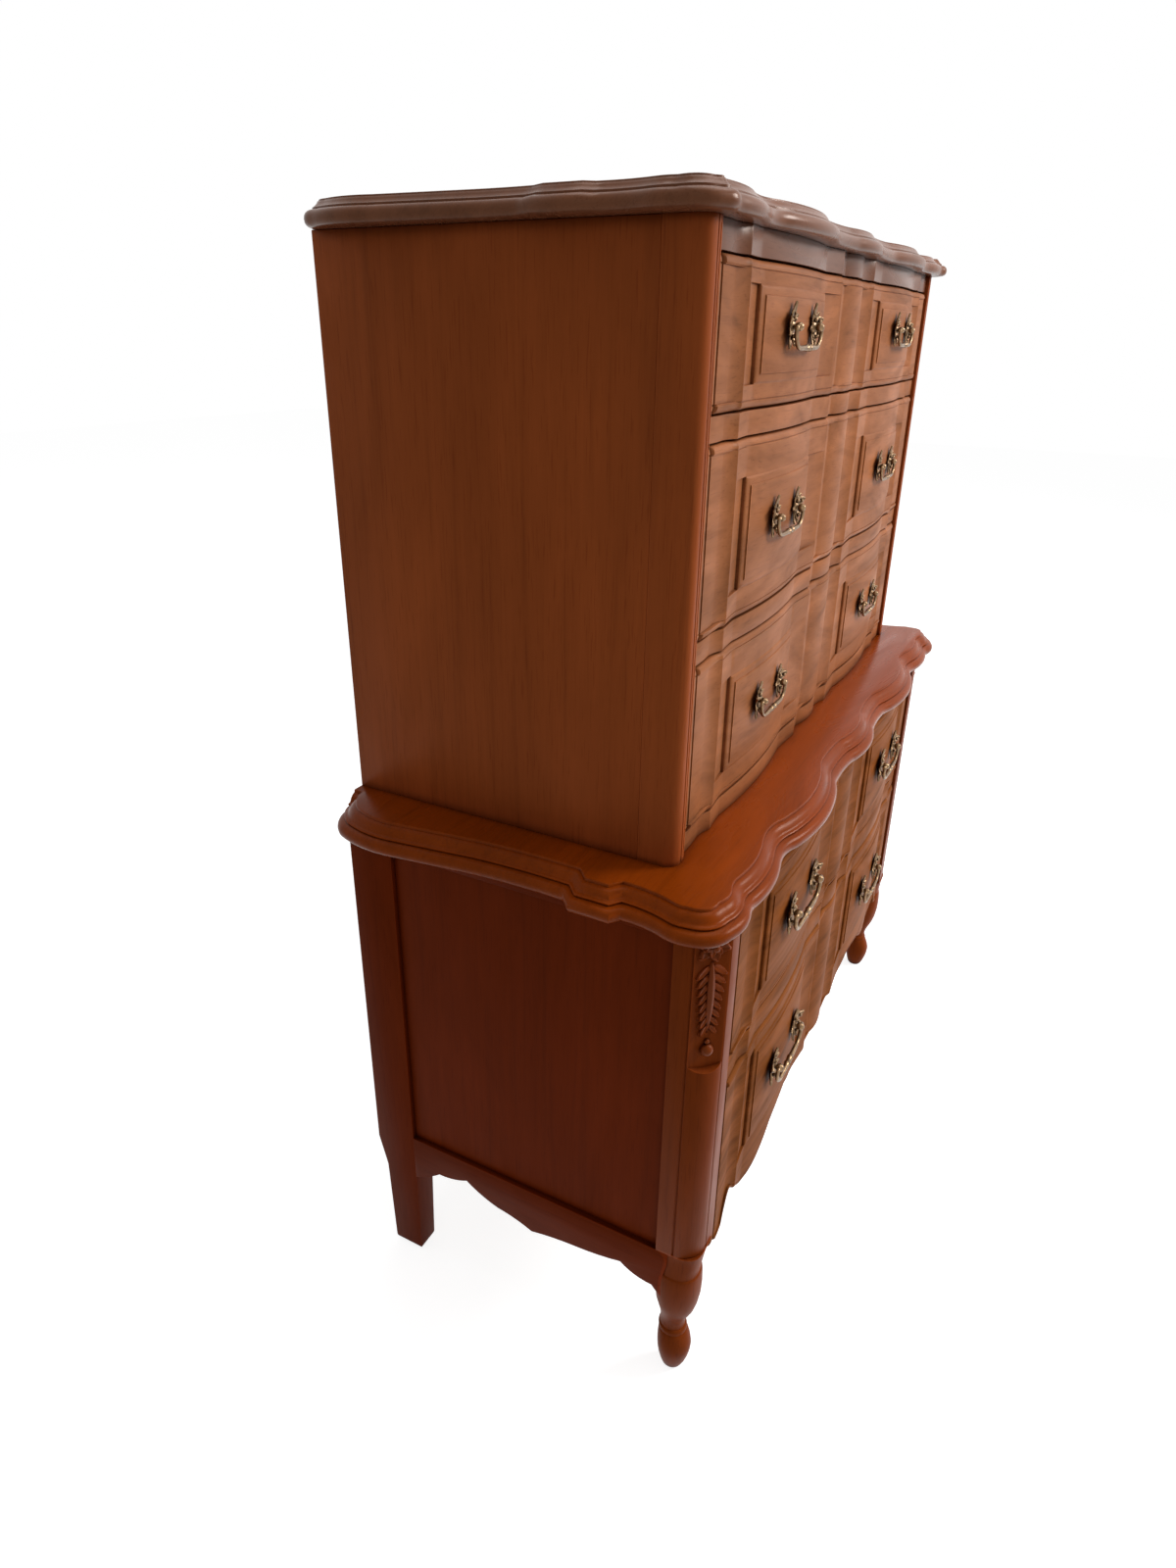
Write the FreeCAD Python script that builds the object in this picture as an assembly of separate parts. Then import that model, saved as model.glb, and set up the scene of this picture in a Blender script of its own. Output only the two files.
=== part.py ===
import FreeCAD
import Part
import math
import os

# A chest on chest in the French Provincial manner: an upper chest of three drawers stands on
# the moulded top of a wider, deeper chest of two, on cabriole legs. Every drawer front, rail
# and top follows one serpentine wave.
#
# Millimetres. X runs to the right seen from the front, Z up, and the front faces -Y. The
# origin is on the floor, in the middle of the outside box. A "depth" is the distance forward
# of the back plane of the two cases.

V = FreeCAD.Vector

# ---------------------------------------------------------------- driving dimensions
HEIGHT = 1365.0           # floor to the top surface
UPPER_BOTTOM = 741.0      # floor to the top surface of the lower chest
TOP_THICK = 25.0          # upper moulded top
LEDGE_THICK = 35.0        # lower moulded top
UPPER_HALF = 500.5        # half the width of the upper case
LOWER_HALF = 531.0        # half the width of the lower case
UPPER_FRONT = 415.0       # depth of the upper case at its posts
LOWER_FRONT = 484.0       # depth of the lower case at its posts
OPENING_HALF = 475.0      # half the width between the front posts, in both cases
LEDGE_BULGE = 29.5        # the lower top passes its case by this at its fullest

UPPER_UNDER = HEIGHT - TOP_THICK
LOWER_UNDER = UPPER_BOTTOM - LEDGE_THICK
FRONT_REACH = LOWER_FRONT + LEDGE_BULGE
CENTRE_DEPTH = FRONT_REACH / 2

# Drawer openings, top one first: bottom, top and the front plane of its case
OPENINGS = [
    (1184.0, 1315.5, UPPER_FRONT),
    (974.5, 1160.5, UPPER_FRONT),
    (765.0, 951.0, UPPER_FRONT),
    (487.0, 688.0, LOWER_FRONT),
    (264.0, 453.0, LOWER_FRONT),
]
BASE_HIGH = 18.0          # height of the rail under the bottom drawer
FOOT_LOW = 184.0          # the bottom drawer front reaches down to here, scalloped

# Wave of the fronts, right half: x, how far forward of the posts, and the rise of the arc
# that leads to the next point (positive is full, negative hollow)
WAVE = [
    (45.0, -6.0, -1.5),
    (80.0, 1.0, -0.4),
    (141.0, -3.0, 6.8),
    (363.0, -3.0, -0.4),
    (400.0, 0.0, -1.5),
    (425.0, -6.0, 1.2),
]
WAVE_END = -5.5           # where the wave meets the posts
WAVE_CENTRE = 7.0         # rise of the middle lobe
WAVE_PEAK = 1.5           # from here the rise of a block is counted

# Edge of a top, right half: x, how far forward of its case, rise to the next point
TOP_WAVE = [
    (60.0, 15.0, -1.5),
    (130.0, 12.0, -1.5),
    (165.0, 18.0, 11.5),
    (335.0, 18.0, -1.5),
    (365.0, 11.0, -1.0),
    (395.0, 15.0, 5.0),
]
TOP_CENTRE = 9.0
# The rest of it runs round the corner and back along the side: distance outside the side of
# the case, as a share of the side overhang, and distance behind the front plane
TOP_CORNER = [
    (-0.92, -16.0, -1.0),
    (-0.55, -18.0, 3.5),
    (0.30, -16.0, 9.0),
    (0.98, 22.0, 1.5),
    (0.96, 46.0, -3.0),
    (0.78, 96.0, 0.0),
    (1.00, 104.0, 0.0),
    (1.00, 152.0, 0.0),
    (0.70, 166.0, -2.0),
]
TOP_SIDE = [
    (0.74, 0.42, 0.0),    # share of the overhang, share of the depth from the back
    (1.00, 0.21, 5.0),
    (0.80, 0.05, 5.0),
    (0.10, 0.00, 0.0),
]
UPPER_OVERHANG = 28.0
LOWER_OVERHANG = 51.0
UPPER_SHARE = 0.88        # the upper top keeps this share of the forward reach
TRIM = 40.0               # sawn off straight behind the back plane

# Sections of the moulded edges: height above the underside, inset from the edge
TOP_SECTION = [(0.0, 7.0), (5.0, 0.5), (13.0, 0.0), (17.0, 5.0), (22.0, 12.0), (25.0, 16.0)]
LEDGE_SECTION = [(0.0, 9.0), (5.0, 1.0), (17.0, 0.0), (22.0, 6.0), (31.0, 15.0), (35.0, 21.0)]

# Case work
SIDE_THICK = 19.0
POST_DEPTH = 43.0         # upper post, front to back
POST_ROUND = 14.0         # its rounded outer corner
RAIL_DEPTH = 60.0         # rails reach this far back from the front plane
BACK_THICK = 6.0
BACK_LAP = 9.0            # back panels sit in rebates this wide
DUST_THICK = 4.0
DUST_LAP = 6.0
RUNNER_INNER = 430.0
GUIDE_INNER = 466.0       # guides stand here, beside the drawer
GUIDE_HIGH = 12.0
STOP_X = 300.0            # stop blocks behind each drawer front
STOP_WIDE = 24.0
STOP_DEEP = 14.0
STOP_HIGH = 7.0
STOP_GAP = 0.3
CASE_BACK_GAP = 8.0       # from the back panel to the runners

# Lower case
POST_WIDE = LOWER_HALF - OPENING_HALF
LOWER_POST_BACK = 431.0   # depth at which the front posts begin
BACK_POST_DEEP = 62.0
BACK_POST_WIDE = 45.0
# Back leg: height, taper from the back, taper from inside
BACK_LEG = [(0.0, 17.0, 14.0), (150.0, 12.0, 7.0), (199.0, 0.0, 0.0)]
BACK_LEG_ROUND = 11.0
FRAME_THICK = 22.0        # side rails and aprons
APRON_REACH = 16.0         # the side aprons run on to the leg by this
PANEL_THICK = 8.0
PANEL_RECESS = 7.0
PANEL_LAP = 6.0
PANEL_TOP = 678.0
PANEL_FOOT = 222.0
POST_STRIP = 22.0         # flat strip beside the drawers
POST_QUIRK = 4.0          # V grooves on both sides of the column
POST_FULL = 8.5           # rise of the column's curve
COLLAR_TOP = 222.0
FIELD_FOOT = 512.0        # bottom of the carved field on each post
FIELD_SAG = 13.0          # its lower edge hangs by this much
FIELD_HOLLOW = -2.5       # the field is hollow where the column is full

# Cabriole leg up to the foot of the post: height, centre across, centre in depth, radius
LEG = [
    (0.0, 505.0, 453.5, 10.0),
    (4.0, 505.0, 453.5, 13.5),
    (12.0, 505.0, 454.0, 16.5),
    (28.0, 505.0, 454.5, 20.5),
    (42.0, 505.0, 454.5, 22.3),
    (55.0, 504.0, 453.0, 21.0),
    (67.0, 503.0, 450.5, 18.3),
    (77.0, 502.5, 449.5, 16.6),
    (88.0, 503.0, 450.5, 17.0),
    (100.0, 504.0, 452.5, 19.5),
    (113.0, 505.0, 454.0, 23.4),
    (127.0, 505.0, 454.0, 27.0),
    (145.0, 505.0, 454.5, 29.0),
    (162.0, 505.0, 454.5, 29.4),
    (184.0, 505.0, 454.5, 28.6),
    (205.0, 505.0, 454.5, 27.0),
    (222.0, 504.0, 454.5, 26.0),
]

# Drawers
FACE_GAP = 1.5            # round a drawer front
FACE_PROUD = 1.5          # drawer fronts stand this far in front of the rails
FACE_THICK = 22.0         # from the front plane back
BOX_HALF = 464.0
BOX_SIDE = 12.0
BOX_BOTTOM = 5.0
BOX_LIFT = 0.4            # sides clear of the runners
BOX_ABOVE = 9.0           # sides below the rail above
GROOVE_UP = 9.0           # bottom panel above the edge of the sides
GROOVE_DEEP = 6.0
UPPER_BOX = 340.0         # length of the drawer sides
LOWER_BOX = 405.0

# Each drawer front has a full block for each pull, with a raised field on it, and a stopped
# channel on both sides of the field
BLOCK_X = 252.0
BLOCK_RADIUS = 904.0
PANELS = [(1207.5, 1294.0), (1007.0, 1121.5), (797.0, 912.0), (519.5, 659.5), (266.0, 428.5)]
FIELD_HALF = 101.0
FIELD_INSET = 8.0         # from the ends of the channels
FIELD_RISE = 5.2
CHANNELS = [              # plan: x, how far forward of the posts, rise of the arc to the next
    [(363.0, -6.5, -1.6), (400.0, 1.5, 0.0), (400.0, 20.0, 0.0), (363.0, 20.0, 0.0)],
    [(80.0, 2.5, -1.6), (141.0, -6.5, 0.0), (141.0, 20.0, 0.0), (80.0, 20.0, 0.0)],
]

# Bail pulls of the lower drawers; those of the upper drawers are the same but smaller
UPPER_PULL = 0.8
PULL_SPAN = 47.5          # from the middle of a pull to each post
PULL_UP = 10.0            # hinge above the middle of its panel
STANDOFF = 12.0           # hinge in front of the wood at the posts
BALL_RADIUS = 5.0
NECK_RADIUS = 3.6
PIN_RADIUS = 2.0
PIN_CLEARANCE = 0.06
PIN_INNER = 43.0
BAIL_HALF = 56.5
BAIL_DROP = 25.0
BAIL_ROD = 3.0
BAIL_BEND = 3.4
BAIL_SWEEP = 20.0
LEAF_THICK = 4.0
SCREW_RADIUS = 2.0
SCREW_HEAD = 4.0


# ---------------------------------------------------------------- drawing in plan
def at(x, depth, z=0.0):
    """A point from its place across, its depth from the back plane and its height."""
    return V(x, CENTRE_DEPTH - depth, z)


def stretch(start, end, rise):
    """A line, or an arc that rises to the right of the way it runs."""
    if abs(rise) < 1e-6:
        return Part.makeLine(start, end)
    run = end - start
    return bowed(start, end, V(run.y, -run.x, 0).normalize() * rise)


def bowed(start, end, rise):
    """A line, or an arc whose middle is moved by a vector."""
    if rise.Length < 1e-6:
        return Part.makeLine(start, end)
    return Part.Arc(start, (start + end) * 0.5 + rise, end).toShape()


def mirrored(half, centre_rise):
    """The closed outline from its right half, front middle to back middle."""
    rises = [rise for x, depth, rise in half[:-1]]
    right = [(x, depth, rise) for x, depth, rise in half[:-1]] + [(half[-1][0], half[-1][1], 0.0)]
    left = []
    for index in range(len(half) - 1, -1, -1):
        x, depth, rise = half[index]
        left.append((-x, depth, rises[index - 1] if index else centre_rise))
    return right + left


def grown(outline, amount):
    """The outline with every point moved outwards, across the corner it stands on."""
    points = [V(x, -depth, 0) for x, depth, rise in outline]
    moved = []
    for index, (x, depth, rise) in enumerate(outline):
        before = points[index] - points[index - 1]
        after = points[(index + 1) % len(points)] - points[index]
        side_before = V(before.y, -before.x, 0).normalize()
        side_after = V(after.y, -after.x, 0).normalize()
        both = (side_before + side_after).normalize()
        reach = amount / max(0.75, both.dot(side_after))
        moved.append((x + both.x * reach, depth - both.y * reach, rise))
    return moved


def wire(outline, z):
    points = [at(x, depth, z) for x, depth, rise in outline]
    edges = []
    for index, (x, depth, rise) in enumerate(outline):
        edges.append(stretch(points[index], points[(index + 1) % len(points)], rise))
    return Part.Wire(edges)


def prism(outline, low, high):
    return Part.Face(wire(outline, low)).extrude(V(0, 0, high - low))


def block(x0, x1, depth0, depth1, z0, z1):
    """A plain board between two places across, two depths and two heights."""
    return Part.makeBox(x1 - x0, depth1 - depth0, z1 - z0, at(x0, depth1, z0))


def moulded(outline, section, under):
    """A board whose edge follows a section of heights and insets."""
    wires = [wire(grown(outline, -inset), under + rise) for rise, inset in section]
    return Part.makeLoft(wires, True, True)


def left_of(shape):
    return shape.mirror(V(0, 0, 0), V(1, 0, 0))


# ---------------------------------------------------------------- serpentine boards
def wave_outline(front, half_width, back, proud=0.0):
    """Plan of a board with the wave along its front."""
    half = [(x, front + forward + proud, rise) for x, forward, rise in WAVE]
    half.append((half_width, front + WAVE_END + proud, 0.0))
    half.append((half_width, back, 0.0))
    return mirrored(half, WAVE_CENTRE)


def wave_rail(front, low, high):
    return prism(wave_outline(front, OPENING_HALF, front - RAIL_DEPTH), low, high)


def top_outline(half_width, front, overhang, share):
    half = [(x, front + forward * share, rise * share) for x, forward, rise in TOP_WAVE]
    for out, behind, rise in TOP_CORNER:
        half.append((half_width + out * overhang, front - behind, rise))
    for out, place, rise in TOP_SIDE:
        half.append((half_width + out * overhang, front * place, rise))
    half.append((half[-1][0], -TRIM, 0.0))
    return mirrored(half, TOP_CENTRE * share)


def make_tops(parts):
    upper = top_outline(UPPER_HALF, UPPER_FRONT, UPPER_OVERHANG, UPPER_SHARE)
    lower = top_outline(LOWER_HALF, LOWER_FRONT, LOWER_OVERHANG, 1.0)
    trim = block(-700, 700, -2 * TRIM, 0, 0, HEIGHT + 10)
    parts["upper_top"] = moulded(upper, TOP_SECTION, UPPER_UNDER).cut(trim)
    parts["lower_top"] = moulded(lower, LEDGE_SECTION, LOWER_UNDER).cut(trim)


# ---------------------------------------------------------------- upper case
def make_upper_case(parts):
    side = block(UPPER_HALF - SIDE_THICK, UPPER_HALF, 0, UPPER_FRONT - POST_DEPTH,
                 UPPER_BOTTOM, UPPER_UNDER)
    rebate = block(UPPER_HALF - SIDE_THICK, UPPER_HALF - SIDE_THICK + BACK_LAP, 0, BACK_THICK,
                   UPPER_BOTTOM, UPPER_UNDER)
    side = side.cut(rebate)
    parts["upper_side_right"] = side
    parts["upper_side_left"] = left_of(side)

    bead = 9.0
    quirk = 2.0
    post = prism([
        (OPENING_HALF, UPPER_FRONT - POST_DEPTH, 0),
        (OPENING_HALF, UPPER_FRONT, 0),
        (OPENING_HALF + bead - quirk, UPPER_FRONT, 0),
        (OPENING_HALF + bead - quirk / 2, UPPER_FRONT - quirk, 0),
        (OPENING_HALF + bead, UPPER_FRONT, 0),
        (UPPER_HALF - POST_ROUND, UPPER_FRONT, POST_ROUND * (1 - math.sqrt(0.5))),
        (UPPER_HALF, UPPER_FRONT - POST_ROUND, 0),
        (UPPER_HALF, UPPER_FRONT - POST_DEPTH, 0),
    ], UPPER_BOTTOM, UPPER_UNDER)
    parts["upper_post_right"] = post
    parts["upper_post_left"] = left_of(post)

    back = UPPER_HALF - SIDE_THICK + BACK_LAP
    parts["upper_back_panel"] = block(-back, back, 0, BACK_THICK, UPPER_BOTTOM, UPPER_UNDER)

    levels = [(OPENINGS[1][1], OPENINGS[0][0]), (OPENINGS[2][1], OPENINGS[1][0]),
              (UPPER_BOTTOM, OPENINGS[2][0])]
    parts["upper_frieze_rail"] = wave_rail(UPPER_FRONT, OPENINGS[0][1], UPPER_UNDER)
    rails, runners, panels = [], [], []
    for low, high in levels:
        board = wave_rail(UPPER_FRONT, low, high)
        rail, pair, panel = drawer_frame(board, UPPER_FRONT, low, high, UPPER_HALF - SIDE_THICK,
                                         BACK_THICK + CASE_BACK_GAP)
        rails.append(rail)
        runners += pair
        panels.append(panel)
    parts["upper_drawer_rails"] = Part.makeCompound(rails[:2])
    parts["upper_base_rail"] = rails[2]
    parts["upper_runners"] = Part.makeCompound(runners)
    parts["upper_dust_panels"] = Part.makeCompound(panels)


def drawer_frame(board, front, low, high, outer, back):
    """A rail made of a board, with the runners, guides and dust panel that lie behind it."""
    middle = (low + high) / 2
    rail_back = front - RAIL_DEPTH
    panel = block(-RUNNER_INNER - DUST_LAP, RUNNER_INNER + DUST_LAP, back, rail_back + DUST_LAP,
                  middle - DUST_THICK / 2, middle + DUST_THICK / 2)
    rail = board.cut(panel)
    strip = block(RUNNER_INNER, outer, back, rail_back, low, high)
    runner = strip.cut(panel)
    guide = block(GUIDE_INNER, outer, back, rail_back, high, high + GUIDE_HIGH)
    return rail, [runner, left_of(runner), guide, left_of(guide)], panel


# ---------------------------------------------------------------- lower case
def leg_shape():
    rings = []
    for z, x, depth, radius in LEG:
        rings.append(Part.Wire(Part.makeCircle(radius, at(x, depth, z), V(0, 0, 1))))
    return Part.makeLoft(rings, True, False)


def post_outline(full):
    """The front post in plan: a flat strip, then a column between two V grooves."""
    strip = OPENING_HALF + POST_STRIP
    side = LOWER_HALF
    front = LOWER_FRONT
    half = POST_QUIRK / 2
    corner = LOWER_POST_BACK + POST_STRIP
    return [
        (OPENING_HALF, LOWER_POST_BACK, 0),
        (OPENING_HALF, front, 0),
        (strip, front, 0),
        (strip + half, front - half, 0),
        (strip + POST_QUIRK, front, full),
        (side, corner + half, 0),
        (side - half, corner, 0),
        (side, corner - half, 0),
        (side, LOWER_POST_BACK, 0),
    ]


def across_post(outline):
    """A tool drawn on a plane across the post's corner: points of place, height and rise."""
    edges = []
    for index, (place, z, rise) in enumerate(outline):
        after = outline[(index + 1) % len(outline)]
        start, end = V(place, 0, z), V(after[0], 0, after[1])
        run = end - start
        if abs(rise) < 1e-6:
            edges.append(Part.makeLine(start, end))
        else:
            edges.append(bowed(start, end, V(-run.z, 0, run.x).normalize() * rise))
    tool = Part.Face(Part.Wire(edges)).extrude(V(0, -60, 0))
    tool.rotate(V(0, 0, 0), V(0, 0, 1), 45)
    middle = (POST_STRIP + POST_QUIRK + LOWER_HALF - OPENING_HALF) / 2
    tool.translate(at(OPENING_HALF + middle - 15, LOWER_POST_BACK + middle - 15))
    return tool


def make_posts(parts):
    top = LOWER_UNDER
    full = prism(post_outline(POST_FULL), COLLAR_TOP, top)
    sunk = prism(post_outline(FIELD_HOLLOW), COLLAR_TOP, top)
    low = FIELD_FOOT + FIELD_SAG
    field = across_post([(-30, top + 5, 0), (-30, low, -FIELD_SAG), (30, low, 0),
                         (30, top + 5, 0)])
    post = full.cut(field.common(full.cut(sunk))).fuse(leg_shape())
    groove = block(LOWER_HALF - PANEL_RECESS - PANEL_THICK, LOWER_HALF - PANEL_RECESS,
                   LOWER_POST_BACK - PANEL_LAP, LOWER_POST_BACK + PANEL_LAP,
                   PANEL_FOOT - PANEL_LAP, PANEL_TOP + PANEL_LAP)
    post = post.removeSplitter().cut(groove)
    parts["lower_post_right"] = post
    parts["lower_post_left"] = left_of(post)

    sections = []
    for z, behind, inside in BACK_LEG + [(top, 0.0, 0.0)]:
        x0, x1 = LOWER_HALF - BACK_POST_WIDE + inside, LOWER_HALF
        corners = [at(x0, behind, z), at(x1, behind, z), at(x1, BACK_POST_DEEP, z),
                   at(x0, BACK_POST_DEEP, z)]
        sections.append(Part.makePolygon(corners + corners[:1]))
    back = Part.makeLoft(sections, True, True)
    foot = [edge for edge in back.Edges if edge.BoundBox.ZMax < 1e-3]
    back = back.makeFillet(BACK_LEG_ROUND, foot)
    rebate = block(LOWER_HALF - BACK_POST_WIDE, LOWER_HALF - BACK_POST_WIDE + BACK_LAP,
                   0, BACK_THICK, PANEL_FOOT - 20, top)
    groove = block(LOWER_HALF - PANEL_RECESS - PANEL_THICK, LOWER_HALF - PANEL_RECESS,
                   BACK_POST_DEEP - PANEL_LAP, BACK_POST_DEEP + PANEL_LAP,
                   PANEL_FOOT - PANEL_LAP, PANEL_TOP + PANEL_LAP)
    back = back.cut([rebate, groove])
    parts["lower_back_post_right"] = back
    parts["lower_back_post_left"] = left_of(back)


def side_apron_outline():
    """Side view of the apron: depth and height, with an ogee lower edge."""
    back = BACK_POST_DEEP
    front = LOWER_POST_BACK + APRON_REACH
    low = [(back, 150.0), (104.0, 176.0), (150.0, 188.5), (200.0, 165.0), (253.0, 151.0),
           (320.0, 162.0), (384.0, 173.0), (428.0, 158.0), (front, 140.0)]
    rises = [-2.0, -3.0, -2.5, 2.0, 1.5, -1.5, -4.0, -1.0]
    points = [V(0, CENTRE_DEPTH - depth, z) for depth, z in low]
    edges = []
    for start, end, rise in zip(points, points[1:], rises):
        run = end - start
        side = V(0, -run.z, run.y).normalize()
        edges.append(Part.Arc(start, (start + end) * 0.5 - side * rise, end).toShape())
    corners = [points[-1], V(0, CENTRE_DEPTH - front, PANEL_FOOT),
               V(0, CENTRE_DEPTH - back, PANEL_FOOT), points[0]]
    for start, end in zip(corners, corners[1:]):
        edges.append(Part.makeLine(start, end))
    return Part.Wire(edges)


def make_lower_sides(parts):
    inner = LOWER_HALF - FRAME_THICK
    panel = block(LOWER_HALF - PANEL_RECESS - PANEL_THICK, LOWER_HALF - PANEL_RECESS,
                  BACK_POST_DEEP - PANEL_LAP, LOWER_POST_BACK + PANEL_LAP,
                  PANEL_FOOT - PANEL_LAP, PANEL_TOP + PANEL_LAP)
    rail = block(inner, LOWER_HALF, BACK_POST_DEEP, LOWER_POST_BACK, PANEL_TOP, LOWER_UNDER)
    apron = Part.Face(side_apron_outline()).extrude(V(FRAME_THICK, 0, 0))
    apron.translate(V(inner, 0, 0))
    rail = rail.cut(panel)
    apron = apron.cut([panel, parts["lower_post_right"]])
    parts["lower_side_panel_right"] = panel
    parts["lower_side_panel_left"] = left_of(panel)
    parts["lower_side_rails"] = Part.makeCompound([rail, left_of(rail)])
    parts["lower_side_aprons"] = Part.makeCompound([apron, left_of(apron)])


def foot_cutter():
    """What is taken off the foot of the bottom drawer front: a scallop, right half mirrored."""
    half = [(60.0, 211.0, -1.0), (140.0, 214.0, -2.0), (190.0, 232.0, 3.0), (265.0, 222.0, -2.0),
            (310.0, 198.0, -6.0), (372.0, 202.0, 1.0), (415.0, 236.0, 8.0), (441.0, 190.0, 0.0),
            (OPENING_HALF, 187.0, 0.0)]
    points = [V(x, 0, z) for x, z, rise in half]
    right = []
    for index in range(len(half) - 1):
        start, end = points[index], points[index + 1]
        run = end - start
        up = V(-run.z, 0, run.x).normalize()
        right.append(bowed(start, end, up * half[index][2]))
    left = [edge.mirror(V(0, 0, 0), V(1, 0, 0)) for edge in right]
    first = V(-half[0][0], 0, half[0][1])
    middle = bowed(first, points[0], V(0, 0, -6.0))
    wide = OPENING_HALF
    end = half[-1][1]
    frame = [V(wide, 0, end), V(wide, 0, 150.0), V(-wide, 0, 150.0), V(-wide, 0, end)]
    edges = right + left + [middle]
    for start, end in zip(frame, frame[1:]):
        edges.append(Part.makeLine(start, end))
    outline = Part.Wire(Part.__sortEdges__(edges))
    face = Part.Face(outline)
    face.translate(at(0, LOWER_FRONT + 40))
    return face.extrude(V(0, RAIL_DEPTH + 80, 0))


def make_lower_case(parts):
    make_posts(parts)
    make_lower_sides(parts)
    parts["lower_frieze_rail"] = wave_rail(LOWER_FRONT, OPENINGS[3][1], LOWER_UNDER)

    inner = LOWER_HALF - BACK_POST_WIDE
    shelf_back = BACK_POST_DEEP
    outer = inner + 12.0
    low, high = OPENINGS[4][1], OPENINGS[3][0]
    board = wave_rail(LOWER_FRONT, low, high)
    rail, pair, panel = drawer_frame(board, LOWER_FRONT, low, high, outer, shelf_back)
    parts["lower_rail_4_5"] = rail
    low, high = OPENINGS[4][0] - BASE_HIGH, OPENINGS[4][0]
    board = block(-OPENING_HALF, OPENING_HALF, LOWER_FRONT - RAIL_DEPTH,
                  LOWER_FRONT - FACE_THICK - STOP_GAP, low, high)
    base, base_pair, base_panel = drawer_frame(board, LOWER_FRONT, low, high, outer, shelf_back)
    parts["lower_base_rail"] = base
    parts["lower_runners"] = Part.makeCompound(pair + base_pair)
    parts["lower_dust_panels"] = Part.makeCompound([panel, base_panel])

    back = inner + BACK_LAP
    panel = block(-back, back, 0, BACK_THICK, PANEL_FOOT - 20, LOWER_UNDER)
    low = block(-inner, inner, BACK_THICK, BACK_THICK + FRAME_THICK, PANEL_FOOT - 20,
                PANEL_FOOT + 21)
    high = block(-inner, inner, BACK_THICK, BACK_THICK + FRAME_THICK, LOWER_UNDER - 40,
                 LOWER_UNDER)
    parts["lower_back"] = Part.makeCompound([panel, low, high])


def make_stops(parts):
    """Blocks on the rails that stop each drawer with its front in line."""
    blocks = []
    for low, high, front in OPENINGS:
        face_back = front - FACE_THICK
        stop = block(STOP_X - STOP_WIDE / 2, STOP_X + STOP_WIDE / 2,
                     face_back - STOP_GAP - STOP_DEEP, face_back - STOP_GAP, low, low + STOP_HIGH)
        blocks += [stop, left_of(stop)]
    parts["drawer_stops"] = Part.makeCompound(blocks)


def make_carvings(parts):
    """Applied carving on each post: a flower over a tapering spray of leaves."""
    tool = across_post([(-13, 672, 0), (-12, 640, 0), (-14, 612, 0), (-10, 572, 0), (0, 536, 0),
                        (10, 572, 0), (14, 612, 0), (12, 640, 0), (13, 672, -13)])
    skin = prism(post_outline(POST_FULL - 1.0), FIELD_FOOT, LOWER_UNDER)
    carving = tool.common(skin).cut(parts["lower_post_right"])
    parts["post_carving_right"] = max(carving.Solids, key=lambda solid: solid.Volume)
    parts["post_carving_left"] = left_of(parts["post_carving_right"])


# ---------------------------------------------------------------- drawers
def block_front(front, offset):
    """Depth of the raised field at a distance from the middle of its block."""
    fall = BLOCK_RADIUS - math.sqrt(BLOCK_RADIUS ** 2 - offset ** 2)
    return front + WAVE_PEAK + FACE_PROUD + FIELD_RISE - fall


def raised_field(front, low, high):
    """The raised field of a block, full like the block."""
    x0, x1 = BLOCK_X - FIELD_HALF, BLOCK_X + FIELD_HALF
    start = at(x0, block_front(front, FIELD_HALF), low)
    top = at(BLOCK_X, block_front(front, 0.0), low)
    end = at(x1, block_front(front, FIELD_HALF), low)
    rear = front - FACE_THICK / 2
    edges = [Part.Arc(start, top, end).toShape(), Part.makeLine(end, at(x1, rear, low)),
             Part.makeLine(at(x1, rear, low), at(x0, rear, low)),
             Part.makeLine(at(x0, rear, low), start)]
    return Part.Face(Part.Wire(edges)).extrude(V(0, 0, high - low))


def drawer_face(front, low, high, panel):
    half = OPENING_HALF - FACE_GAP
    face = prism(wave_outline(front, half, front - FACE_THICK, FACE_PROUD), low, high)
    for plan in CHANNELS:
        channel = prism([(x, front + forward, rise) for x, forward, rise in plan], *panel)
        face = face.cut([channel, left_of(channel)])
    field = raised_field(front, panel[0] + FIELD_INSET, panel[1] - FIELD_INSET)
    return face.fuse([field, left_of(field)]).removeSplitter()


def pull_places(front, panel, size):
    """The hinge of each pull: left one, then right one."""
    depth = block_front(front, PULL_SPAN * size) + STANDOFF * size
    z = (panel[0] + panel[1]) / 2 + PULL_UP * size
    return [at(-BLOCK_X, depth, z), at(BLOCK_X, depth, z)]


def pull_leaf(hand):
    """Back plate of a post: a small leaf with a curled side, drawn about the post."""
    outline = [(0, 31, 1.5), (6, 12, -2.0), (15, 8, 3.0), (14, -4, -1.5), (6, -9, -1.0),
               (4, -24, 3.0), (-4, -24, -1.0), (-6, -9, -1.5), (-15, -3, 3.5), (-16, 9, -2.0),
               (-6, 12, 1.5)]
    points = [V(x * hand, 0, z) for x, z, rise in outline]
    edges = []
    for index, (x, z, rise) in enumerate(outline):
        start, end = points[index], points[(index + 1) % len(points)]
        run = end - start
        edges.append(bowed(start, end, V(-run.z, 0, run.x).normalize() * rise * hand))
    leaf = Part.Face(Part.Wire(edges)).extrude(V(0, STANDOFF + 6, 0))
    leaf.translate(V(0, STANDOFF - LEAF_THICK, 0))
    return leaf


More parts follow.
